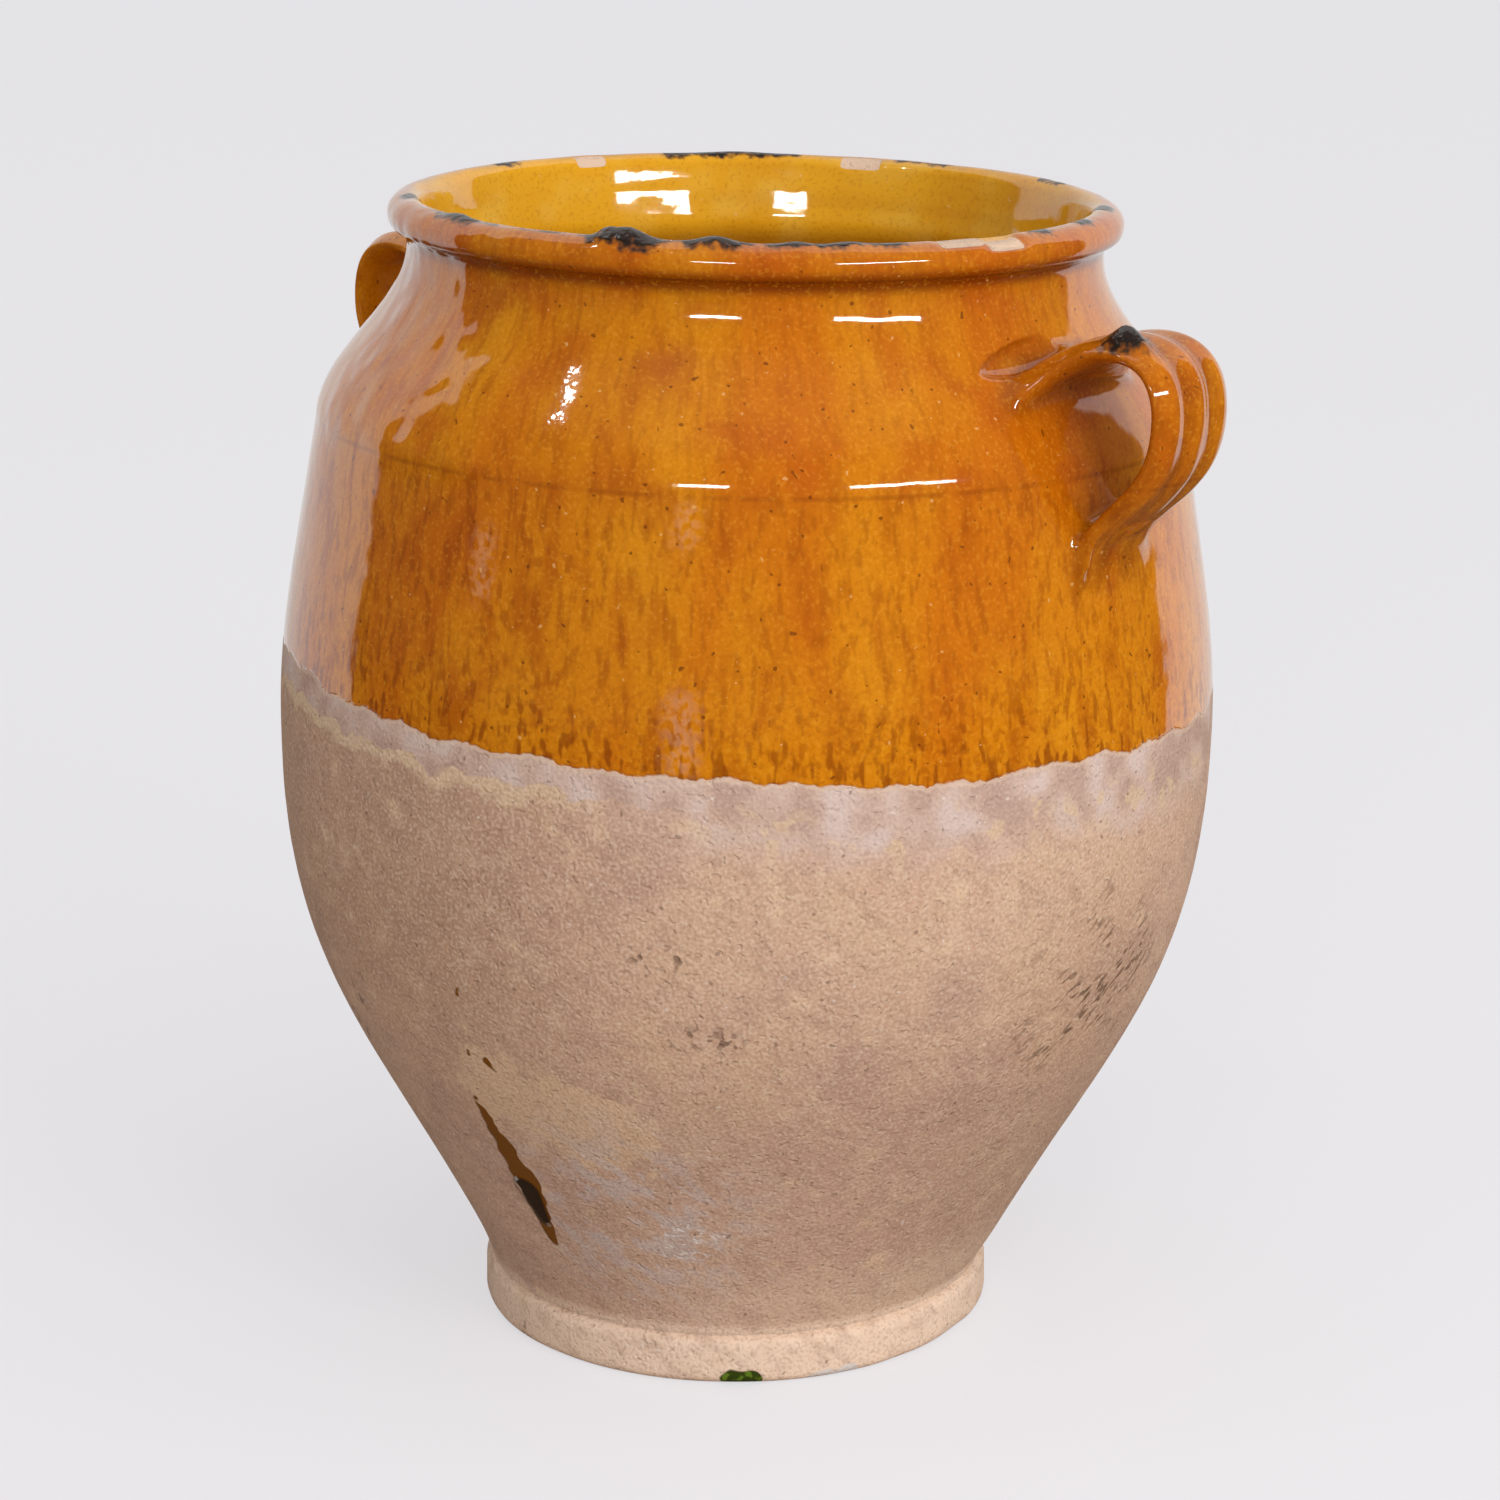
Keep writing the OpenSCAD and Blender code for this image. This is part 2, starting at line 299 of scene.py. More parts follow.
def throwBody():
    b = potBody
    outline = potOutline()
    h = headings(outline)
    outward = np.c_[h[:, 1], -h[:, 0]]
    lengths = lineLengths(outline)
    fromCrest = lengths[np.argmax(outline[:, 1])] - lengths
    columns = b["columns"]
    angles = np.arange(columns) * 360 / columns
    rows = outline[1:-1]
    fromCrest = fromCrest[1:-1]
    crease = b["height"] - b["creaseDrop"]
    outside = fromCrest > 0
    # a scratched line marks where the shoulder turns in, and a finger's mark runs round inside the lip
    scratch = -b["creaseGroove"] * np.exp(-((rows[:, 1] - crease - 0.9) / 0.7) ** 2) * outside
    mark = b["lipMark"] * np.exp(-((rows[:, 1] - b["height"] + b["lipMarkDrop"]) / 0.9) ** 2) * (1 - outside)
    relief = rimRelief(angles[None, :], fromCrest[:, None]) * (rows[:, 1] > b["height"] - 20)[:, None]
    relief = relief + (scratch + mark)[:, None]
    radius = rows[:, 0][:, None] + relief * outward[1:-1, 0][:, None]
    level = rows[:, 1][:, None] + relief * outward[1:-1, 1][:, None]
    # the foot's lower edge is worn, and broken away to the right of the front
    turn = np.radians(angles)
    wear = 2 * cloudsAt(np.c_[2.3 * np.cos(turn), 2.3 * np.sin(turn), np.full(columns, 4.0)], 0.0) - 1
    broken = rimWindow(angles, *b["footBiteArc"], 6) * (0.55 + wear)
    bite = b["footWear"] * np.clip(wear, 0, 1) + b["footBite"] * broken
    lowEdge = np.exp(-((rows[:, 1]) / 2.2) ** 2) * (rows[:, 0] > b["footRadius"] - 8) * outside
    radius = radius - lowEdge[:, None] * np.clip(bite, 0, 3)[None, :]
    points = np.stack([radius * np.cos(turn), radius * np.sin(turn), level], 2).reshape(-1, 3)
    points = np.vstack([leaned(points), [[0, 0, 0]], leaned(np.array([[0, 0, b["floor"]]], float))])
    count = len(rows)
    base, top = count * columns, count * columns + 1
    i, j = np.meshgrid(np.arange(count - 1), np.arange(columns), indexing="ij")
    k = (j + 1) % columns
    quads = np.stack([i * columns + j, i * columns + k, (i + 1) * columns + k, (i + 1) * columns + j], 2)
    faces = quads.reshape(-1, 4).tolist()
    last = (count - 1) * columns
    for j in range(columns):
        k = (j + 1) % columns
        faces.append((base, k, j))
        faces.append((last + j, last + k, top))
    print("body thrown:", count, "rows of", columns)
    return meshObject("potBody", points * mm, faces)


# The strap's middle line in the plane of the handle, as radius and height
def strapLine():
    b, s = potBody, potHandle
    crease = b["height"] - b["creaseDrop"]
    bow = np.array([b["creaseRadius"] + s["out"] - s["thickness"] / 2, crease + s["bowUp"]])
    rootLevel, endLevel = crease + s["rootUp"], crease - s["endDown"]
    root = np.array([wallRadius(rootLevel) - b["wall"] / 2, rootLevel])
    end = np.array([wallRadius(endLevel) - b["wall"] / 2, endLevel])
    climb = math.radians(s["rootClimb"])
    first = cubic(root, root + s["rootRun"] * np.array([math.cos(climb), math.sin(climb)]),
                  bow + [0, s["bowHigh"]], bow)
    second = cubic(bow, bow - [0, s["bowLow"]], end + [0, s["endRun"]], end)
    line = joined(first, second)
    return evenly(line, lineLengths(line)[-1] / s["stations"])


# One pulled strap: three ribs outside with two finger grooves, thinner towards its edges
def pullStrap(name, angle, side):
    s = potHandle
    line = strapLine()
    h = headings(line)
    count = len(line)
    along = np.linspace(0, 1, count)[:, None]
    nearRoot = np.exp(-(along / s["rootSpan"]) ** 2)
    width = s["width"] + s["rootFlare"] * nearRoot - s["endNarrower"] * along ** 6
    depth = s["thickness"] * (1 + s["rootThicker"] * nearRoot - s["endThinner"] * along ** 5)
    cut = s["groove"] * np.sin(np.pi * np.minimum(1, along * 1.1 + 0.1))
    turn = np.linspace(0, 2 * np.pi, s["around"], endpoint=False)[None, :]
    across = -np.cos(turn)                       # -1 at one edge, 1 at the other
    crown = np.sqrt(np.clip(1 - np.abs(across) ** 3, 0, 1))
    rib = (1 + np.cos(3 * np.pi * across)) / 2 - 1
    outer = np.sin(turn) >= 0
    height = np.where(outer, crown * (depth / 2 + cut * rib), -crown * depth / 2)
    # the finger that closed the lower end left its near edge standing as a ridge
    low = smoothStep(along, 0.8, 1.0)
    edge = np.exp(-((across * side + s["edgeRidgeAt"]) / s["edgeRidgeWidth"]) ** 2)
    edge = edge * (1 - 0.7 * smoothStep(along, 0.93, 1.0))
    height = height + outer * low * (s["edgeRidge"] * edge - s["endDish"] * np.exp(-(across / 0.6) ** 2))
    ridge = np.exp(-((across * side + s["rootRidgeAt"]) / s["rootRidgeWidth"]) ** 2)
    height = height + outer * nearRoot * s["rootRidge"] * ridge
    sideways = width / 2 * across * np.ones_like(height)
    thumbSide = -across * side
    sideways = sideways + side * low * s["endIn"]
    sag = np.where(thumbSide > 0, s["thumbSag"], s["rootSag"]) * nearRoot * (2 * sideways / width) ** 2
    radius = line[:, :1] - height * h[:, 1:]
    level = line[:, 1:] + height * h[:, :1] - sag
    # the flared root bends round with the wall
    bend = sideways / line[:, :1]
    outward = radius + nearRoot * (radius * np.cos(bend) - radius)
    sideways = sideways + nearRoot * (radius * np.sin(bend) - sideways)
    points = np.stack([outward, sideways, level], 2).reshape(-1, 3)
    if angle == 0:
        lump = strapLump
        gap = points - np.array(lump["place"])
        rise = lump["height"] * np.exp(-np.sum((gap[:, :2] / lump["spread"]) ** 2, axis=1))
        points[:, 2] += rise * (gap[:, 2] > -6)
    spin = Matrix.Rotation(math.radians(angle), 3, "Z")
    points = leaned(points @ np.array(spin).T)
    n = s["around"]
    faces = []
    for i in range(count - 1):
        for j in range(n):
            k = (j + 1) % n
            faces.append((i * n + j, i * n + k, (i + 1) * n + k, (i + 1) * n + j))
    faces.append(tuple(range(n - 1, -1, -1)))
    faces.append(tuple((count - 1) * n + j for j in range(n)))
    strap = meshObject(name, points * mm, faces)
    shape = bmesh.new()
    shape.from_mesh(strap.data)
    bmesh.ops.recalc_face_normals(shape, faces=shape.faces)
    shape.to_mesh(strap.data)
    shape.free()
    return strap


# Closer mesh where a strap meets the wall
def refineRoots(body, straps):
    trees = [BVHTree.FromObject(strap, bpy.context.evaluated_depsgraph_get()) for strap in straps]
    shape = bmesh.new()
    shape.from_mesh(body.data)
    low, high = jointMelt["closerLevels"]
    chosen = []
    for face in shape.faces:
        middle = face.calc_center_median()
        if not low * mm < middle.z < high * mm or face.normal.dot(Vector((middle.x, middle.y, 0))) < 0:
            continue
        if any(tree.find_nearest(middle, jointMelt["closerGap"] * mm)[0] is not None for tree in trees):
            chosen.append(face)
    edges = {edge for face in chosen for edge in face.edges}
    bmesh.ops.subdivide_edges(shape, edges=list(edges), cuts=1, use_grid_fill=True)
    shape.to_mesh(body.data)
    shape.free()
    print("closer mesh at the roots:", len(chosen), "faces divided")
    return trees


def evaluatedMesh(thing):
    view = bpy.context.evaluated_depsgraph_get()
    view.update()
    return bpy.data.meshes.new_from_object(thing.evaluated_get(view))


# A smooth lesser of two fields, with its slope and the share of the first
def melted(first, second, reach):
    share = min(1, max(0, 0.5 + 0.5 * (second[0] - first[0]) / reach))
    value = second[0] + (first[0] - second[0]) * share - reach * share * (1 - share)
    return value, second[1].lerp(first[1], share), share


def signedDistance(tree, place, reach):
    hit, normal, index, gap = tree.find_nearest(place, reach)
    if hit is None:
        return None
    away = place - hit
    if gap < 1e-7:
        return 0.0, normal
    side = 1 if away.dot(normal) > 0 or gap > jointMelt["thickest"] * mm else -1
    return side * gap, away * (side / gap)


# Where the thumb pressed beside a strap's root, and the frame of that press
def thumbPlace(angle, side):
    t = thumbPress
    around = math.radians(angle + side * t["angle"])
    out = Vector((math.cos(around), math.sin(around), 0))
    along = Vector((0, 0, 1)).cross(out) * side
    tilt = math.radians(t["tilt"])
    along = along * math.cos(tilt) + Vector((0, 0, 1)) * math.sin(tilt)
    high = along.cross(out) * -side
    centre = out * (wallRadius(t["level"]) + t["stand"]) + Vector((0, 0, t["level"]))
    centre = Vector(leaned(np.array([centre]))[0]) * mm
    axes = [(along, t["long"] * mm), (high, t["high"] * mm), (out, t["deep"] * mm)]
    return centre, axes


# The press is a leaf, pointed at both ends, with a rounded furrow along its middle
def pressDistance(press, place):
    centre, axes = press
    away = place - centre
    (along, long), (high, tall), (out, deep) = axes
    u, v, w = away.dot(along) / long, away.dot(high) / tall, away.dot(out) / deep
    rounded = math.sqrt(v * v + thumbPress["rounding"])
    slope = along * (2 * u / long) + high * (v / rounded / tall) + out * (2 * w / deep)
    steep = max(1e-6, slope.length)
    return (rounded + u * u + w * w - 1) / steep, slope / steep


# The straps are welded on, and the joint is melted round as wet clay is worked with a thumb
def weldStraps(body, straps):
    strapTrees = refineRoots(body, straps)
    bodyTree = BVHTree.FromObject(body, bpy.context.evaluated_depsgraph_get())
    for strap in straps:
        weld = body.modifiers.new("weld", "BOOLEAN")
        weld.operation = "UNION"
        weld.solver = "MANIFOLD"
        weld.object = strap
    mesh = evaluatedMesh(body)
    body.modifiers.clear()
    body.data = mesh
    print("straps welded:", len(mesh.vertices), "points")
    j = jointMelt
    presses = [thumbPlace(0, 1), thumbPlace(potHandle["second"], -1)]
    crease = potBody["height"] - potBody["creaseDrop"]

    def fieldAt(place):
        second = int(place.x <= 0)
        wall = signedDistance(bodyTree, place, j["reach"] * mm)
        strap = signedDistance(strapTrees[second], place, j["reach"] * mm)
        if wall is None or strap is None:
            return None
        upper = float(smoothStep(place.z / mm, crease - j["below"], crease + j["above"]))
        melt = mm * (j["low"] + (j["top"] - j["low"]) * upper)
        value, slope, share = melted(wall, strap, melt)
        pressed = pressDistance(presses[second], place)
        hollow, away, kept = melted((-value, -slope), pressed, thumbPress["edge"] * mm)
        return -hollow, -away, 4 * share * (1 - share), 1 - kept

    def settle(place, rounds):
        shade = hollow = 0.0
        for step in range(rounds):
            found = fieldAt(place)
            if found is None:
                break
            value, slope, shade, hollow = found
            move = slope * (value / max(slope.length_squared, 0.3))
            if move.length > j["longestMove"] * mm:
                move.length = j["longestMove"] * mm
            place = place - move
            if abs(value) < j["settled"] * mm:
                break
        return place, shade, hollow

    shape = bmesh.new()
    shape.from_mesh(mesh)

    def worked(place):
        found = fieldAt(place) if j["levels"][0] * mm < place.z < j["levels"][1] * mm else None
        return found is not None and max(found[2:]) > 1e-4

    zone = [vertex for vertex in shape.verts if worked(vertex.co)]
    bmesh.ops.remove_doubles(shape, verts=zone, dist=j["merge"] * mm)
    zone = [vertex for vertex in shape.verts if worked(vertex.co)]
    inZone = set(zone)
    faces = [face for face in shape.faces if any(vertex in inZone for vertex in face.verts)]
    faces = bmesh.ops.triangulate(shape, faces=faces)["faces"]
    for turn in range(j["rounds"]):
        for vertex in zone:
            vertex.co = settle(vertex.co, j["settleSteps"])[0]
        if turn in (1, 3):
            edges = list({edge for face in faces if face.is_valid for edge in face.edges})
            bmesh.ops.beautify_fill(shape, faces=[face for face in faces if face.is_valid], edges=edges)
            faces = [face for face in shape.faces if any(vertex in inZone for vertex in face.verts)]
        if turn < j["rounds"] - 1:
            evened = {}
            for vertex in zone:
                ring = [edge.other_vert(vertex).co for edge in vertex.link_edges]
                evened[vertex] = vertex.co.lerp(sum(ring, Vector()) / len(ring), 0.5)
            for vertex, place in evened.items():
                vertex.co = place
    shape.verts.index_update()
    shades = {vertex.index: settle(vertex.co, 1)[1:] for vertex in zone}
    for face in shape.faces:
        face.smooth = True
    shape.to_mesh(mesh)
    shape.free()
    # glaze pooled along each joint, and the thumb press's hollow, which gets painted shade
    poolingAndHollowShade = np.zeros((len(mesh.vertices), 2))
    for index, shade in shades.items():
        poolingAndHollowShade[index] = shade
    print("joints melted:", len(zone), "points moved")
    return poolingAndHollowShade, strapTrees


# Marks on the wall: places as an angle in degrees from +X and a level in millimetres, then widths or
# the distances at which a mark is whole and gone
wallMarks = dict(
    dipSlope=(61.5, 12.2, 1000), dipLevel=191.9, stain=(-1.0, 119.0), blotch=(-62.6, 286.5),
    paleVein=(-68.0, 54.0), saltSpecks=(-58.5, 48.0),
    drips=[((-89.6, 87.0), (-86.8, 60.5), 0.8, 5.0), ((-86.8, 60.5), (-87.0, 38.5), 5.0, 1.2),
           ((-84.6, 101.8), (-83.4, 99.4), 1.3, 0.7), ((-87.4, 102.6), (-87.4, 103.6), 0.7, 0.5),
           ((-86.6, 121.4), (-86.6, 122.4), 0.8, 0.6)],
    bubble=((-87.6, 57.0), (-86.9, 46.5), 4.2, 2.0, 1.0),
    green=((-51.1, 1.2), (-46.7, 1.2), 2.6, 3.4),
    white=((-33.0, 0.8), (-23.0, 1.2), 1.0, 1.6, 0.5),
    worn=[((-57.6, 253.0), (-57.8, 248.0), 0.0, 5.2), ((-57.6, 206.0), (-57.2, 193.0), 1.4, 6.6),
          ((-83.4, 243.0), (-83.2, 230.0), 0.2, 5.4)],
    smudges=[((-62.0, 141.5), (-57.0, 141.0), 0.5, 4.5), ((-58.0, 118.5), (-51.0, 117.5), 0.5, 4.5),
             ((-118.0, 95.0), (-115.5, 92.0), 0.5, 4.5), ((-111.5, 108.0), (-110.5, 105.0), 0.5, 4.5)],
    straw=[((-84.0, 92.0), (-68.0, 84.0), 7.0, 22.0)],
)

# Burnt slag on the first handle, in millimetres in the pot's own frame
strapLump = dict(place=(130.5, -11.5, 298.0), height=4.2, spread=5.0, soot=(7.0, 6.6, 6.0), strength=1.6)


# Keeps numbers or colours on a mesh's points, where the finish reads them
def keepOnPoints(mesh, name, values):
    kind, field = ("FLOAT", "value") if values.ndim == 1 else ("FLOAT_VECTOR", "vector")
    kept = mesh.attributes.new(name, kind, "POINT")
    kept.data.foreach_set(field, values.astype(np.float32).ravel())


def linear(tone):
    parts = [int(tone[i:i + 2], 16) / 255 for i in (1, 3, 5)]
    return tuple(c / 12.92 if c <= 0.04045 else ((c + 0.055) / 1.055) ** 2.4 for c in parts) + (1.0,)


# Lays tones one over the other on the points, each with its cover and strength
def laidOnPoints(base, layers):
    tones = base
    for cover, strength, tone in layers:
        tones = tones + (np.array(linear(tone)[:3]) - tones) * (cover * strength)[:, None]
    return tones


def onWall(angle, level):
    radius = wallRadius(level) if level > potBody["footHeight"] else potBody["footRadius"]
    a = math.radians(angle)
    return leaned(np.array([[radius * math.cos(a), radius * math.sin(a), level]], float))[0]


# How near points are to any of some strokes on the wall, from 1 within the close distance to 0 at the far one
def nearStrokes(points, strokes):
    nearest = np.zeros(len(points))
    for start, end, close, far in strokes:
        start, end = onWall(*start), onWall(*end)
        way = end - start
        share = np.clip((points - start) @ way / (way @ way), 0, 1)[:, None]
        gap = np.linalg.norm(points - start - share * way, axis=1)
        nearest = np.maximum(nearest, 1 - smoothStep(gap, close, far))
    return nearest


# The dip line's scallops, cusps down, and its slow swell, in millimetres
def dipWave(angles):
    chance = np.random.default_rng(5)
    spots = np.cumsum(chance.uniform(4.0, 9.5, 52))
    spots = spots * 360 / spots[-1] - 180
    gap = np.min(np.abs(angleGap(angles[:, None], spots[None, :])), axis=1)
    gap = np.radians(gap) * potBody["bellyRadius"]
    turn = np.radians(angles)
    swell = cloudsAt(np.c_[np.cos(turn), np.sin(turn), np.zeros(len(turn))] * 3.4, 2.0, 2)
    return 0.17 * np.minimum(gap, 12.0) - 0.7 + 6.0 * (swell - 0.5)


# Where the strap's grooves run, where its edges are, and how much a place belongs to a strap
def strapShades(mesh, points, strapTrees):
    around = potHandle["around"]
    grooves, edges, held = (np.zeros(len(points)) for _ in range(3))
    for index in np.nonzero((points[:, 2] > 215) & (points[:, 2] < 312))[0]:
        place = mesh.vertices[index].co
        hit, normal, face, gap = strapTrees[0 if place.x > 0 else 1].find_nearest(place, 0.006)
        if hit is None:
            continue
        step = face % around + 0.5
        across = -math.cos(2 * math.pi * step / around)
        outer = math.sin(2 * math.pi * step / around) >= 0
        near = 1 - float(smoothStep(gap / mm, 1.5, 5.5))
        held[index] = near
        edges[index] = near * float(smoothStep(abs(across), 0.8, 0.97))
        if outer:
            grooves[index] = near * (1 - math.cos(3 * math.pi * across)) / 2 * (abs(across) < 0.66)
    return grooves, edges, held


# What the finish has to know of each place: inside or out, soot, bare clay, pooled glaze and the thumb
# press's painted shade
def shadePot(mesh, poolingAndHollowShade, strapTrees):
    b = potBody
    points = np.empty(len(mesh.vertices) * 3)
    mesh.vertices.foreach_get("co", points)
    points = points.reshape(-1, 3) / mm
    angles, radius, level = unleaned(points)
    crest = b["rimRadius"] - b["rimCrest"]
    rise = smoothStep(level, b["height"] - 16, b["height"] - 8)
    border = (wallRadius(level) - b["wall"] / 2) * (1 - rise) + crest * rise
    inside = (1 - smoothStep(radius, border - 0.9, border + 0.9)) * (level > b["floor"] - 1)
    fromCrest = np.hypot(radius - crest, (level - b["height"]) * 1.15)
    side = np.where(radius > crest, 1, -1)
    soot = np.zeros(len(points))
    for mark in rimSoot:
        along = rimWindow(angles, mark["start"], mark["stop"], 1.6)
        soot = np.maximum(soot, mark["strength"] * along * np.exp(-(fromCrest / mark["reach"]) ** 2))
    lump = leaned(np.array([strapLump["place"]]))[0]
    gap = np.linalg.norm((points - lump) / np.array(strapLump["soot"]), axis=1)
    soot = np.maximum(soot, strapLump["strength"] * np.exp(-gap ** 2))
    bare = np.zeros(len(points))
    for chip in rimChips:
        along = rimWindow(angles, chip["start"], chip["stop"], 0.9)
        away = np.abs(fromCrest * side - chip["centre"])
        down = 1 - smoothStep(away, chip["reach"] - 0.6, chip["reach"] + 1.2)
        bare = np.maximum(bare, along * down * (level > b["height"] - 14))
    grooves, edges, held = strapShades(mesh, points, strapTrees)
    crestThin = np.exp(-(fromCrest / 2.2) ** 2) * (level > b["height"] - 8)

    def toward(angle, low, high):
        return smoothStep(np.cos(np.radians(angles - angle)), low, high)

    turn = np.radians(angles)
    ring = np.c_[np.cos(turn), np.sin(turn)] * b["bellyRadius"]
    slowRuns = cloudsAt(np.c_[ring / 27, level / 90], 1.0, 2)
    clouds = cloudsAt(points / 14, 10.0, 2)
    upper = smoothStep(level, 254, 262)
    left, right = toward(-112, 0.25, 0.95), toward(8, 0.2, 0.95)
    blotchGap = np.linalg.norm(points - onWall(*wallMarks["blotch"]), axis=1) + 16 * clouds
    glazeTone = laidOnPoints(np.tile(linear("#DA860B")[:3], (len(points), 1)), [
        (smoothStep(slowRuns, 0.48, 0.70), 0.6, "#E69A18"),
        (1 - smoothStep(slowRuns, 0.30, 0.48), 0.52, "#CB6407"),
        (smoothStep(clouds, 0.48, 0.76) * (0.26 + 0.34 * upper), 1.0, "#B8520C"),
        # painted shade: the glaze darker on the left side
        (left, 0.22, "#A85A06"),
        (right, 0.16, "#B85C0A"),
        (right * upper, 0.24, "#BE5814"),
        (smoothStep(level, b["height"] - 13, b["height"] - 9), 0.34, "#B4540E"),
        (1 - smoothStep(blotchGap, 8, 19), 0.7, "#A5481A"),
        (1 - smoothStep(np.abs(level - b["height"] + b["lipMarkDrop"]), 0.6, 4.4), 0.85, "#6E2400"),
        (held * smoothStep(cloudsAt(points / 6, 44.0, 2), 0.42, 0.68), 0.4, "#A65406"),
        (held, 0.16, "#B0620C"),
        (grooves ** 1.6, 0.5, "#823A06"),
        (edges, 0.2, "#8A3E06"),
        (smoothStep(poolingAndHollowShade[:, 0], 0.5, 1.0), 0.36, "#8A3E06"),
        # pooled glaze and painted shade in the thumb's press
        (poolingAndHollowShade[:, 1], 0.5, "#A85206"),
        (crestThin * smoothStep(clouds, 0.3, 0.6), 0.65, "#C48E6C"),
    ])
    innerTone = laidOnPoints(np.tile(linear("#EBAA20")[:3], (len(points), 1)), [
        (smoothStep(slowRuns, 0.42, 0.7), 0.5, "#DC9416"),
        (smoothStep(clouds, 0.46, 0.7), 0.5, "#F2C04C"),
        (smoothStep(cloudsAt(np.c_[ring / 160, level / 5], 23.0), 0.44, 0.74), 0.35, "#CE8818"),
        (1 - smoothStep(level, 215, 275), 0.4, "#CF8E24"),
        (crestThin * smoothStep(clouds, 0.35, 0.62), 0.6, "#A87440"),
    ])
    clayClouds = cloudsAt(points / 27, 42.0, 3)
    lowFoot = 1 - smoothStep(level, 12, 18)
    stainGap = np.linalg.norm(points - onWall(*wallMarks["stain"]), axis=1)
    clayTone = laidOnPoints(np.tile(linear("#D2AC92")[:3], (len(points), 1)), [
        (smoothStep(clayClouds, 0.48, 0.68), 0.45, "#D8B592"),
        (1 - smoothStep(clayClouds, 0.30, 0.48), 0.5, "#B4907E"),
        # painted shade: the clay darker towards the bottom
        (1 - smoothStep(level, 60, 135), 0.24, "#B49284"),
        (right * (1 - smoothStep(level, 70, 140)), 0.3, "#A8846F"),
        # painted shade: the clay darker on the left, at mid height
        (toward(-104, 0.7, 0.95) * smoothStep(level, 90, 130), 0.45, "#AC8468"),
        (toward(-18, 0.45, 0.9) * (1 - smoothStep(level, 22, 44)), 0.6, "#E6C8AC"),
        (toward(-70, 0.5, 0.95) * (1 - smoothStep(level, 60, 90)), 0.35, "#DAB49E"),
        (lowFoot, 0.95, "#F0D3BA"),
        (1 - smoothStep(stainGap, 12, 44), 0.3, "#BC9470"),
    ])
    share = inside[:, None]
    keepOnPoints(mesh, "glazeTone", glazeTone * (1 - share) + innerTone * share)
    keepOnPoints(mesh, "clayTone", clayTone)
    keepOnPoints(mesh, "dipWave", dipWave(angles))
    for name, marks in (("worn", "worn"), ("smudge", "smudges"), ("straw", "straw")):
        keepOnPoints(mesh, name, nearStrokes(points, wallMarks[marks]))
    keepOnPoints(mesh, "inside", inside)
    keepOnPoints(mesh, "soot", soot)
    keepOnPoints(mesh, "bare", bare)
    print("shades kept on", len(points), "points")


# One node with its settings and links; gives back the socket that it is used by
def addNode(tree, kind, inputs=(), out=None, **settings):
    node = tree.nodes.new(kind)
    for name, value in settings.items():
        setattr(node, name, value)
    for key, value in dict(inputs).items():
        if isinstance(value, bpy.types.NodeSocket):
            tree.links.new(value, node.inputs[key])
        else:
            node.inputs[key].default_value = value
    if out is not None:
        return node.outputs[out]
    return next(socket for socket in node.outputs if socket.enabled)


# Adds up amounts, each times its share
def summed(node, start, *terms):
    for amount, share in terms:
        start = node("ShaderNodeMath", {0: amount, 1: share, 2: start}, operation="MULTIPLY_ADD")
    return start


# Where all of some patterns show, from 0 to 1; a pattern may come with the bounds between which it
# sets in
def overlap(node, first, *others):
    shown = None
    for pattern in (first, *others):
        if isinstance(pattern, tuple):
            pattern = node("ShaderNodeMapRange", dict(enumerate(pattern)), interpolation_type="SMOOTHSTEP")
        if shown is not None:
            pattern = node("ShaderNodeMath", {0: shown, 1: pattern}, operation="MULTIPLY")
        shown = pattern
    return shown


# Where any of some patterns shows
def either(node, first, *others):
    for other in others:
        first = node("ShaderNodeMath", {0: first, 1: other}, operation="MAXIMUM")
    return first


# Lays tones one over the other, each where its patterns overlap and as strongly as it says
def laidOver(node, base, layers):
    for patterns, strength, tone in layers:
        cover = overlap(node, *patterns, strength)
        tone = linear(tone) if isinstance(tone, str) else tone
        base = node("ShaderNodeMix", {0: cover, 6: base, 7: tone}, data_type="RGBA")
    return base


# The hand of the thrower, in metres: slow wobble, throwing rings and the glaze's soft waves
thrownSurface = {
    "Wobble": 0.0007, "Wobble size": 0.085, "Ring depth": 0.00022, "Ring spacing": 0.0075, "Inner rings": 1.6,
    "Wave depth": 0.00030, "Wave size": 0.015, "Seed": 7.0,
}
waveLevels = (0.19, 0.22)      # the waves grow between these levels, in metres
footLevels = (0.0012, 0.02)    # and the foot stays flat where it stands


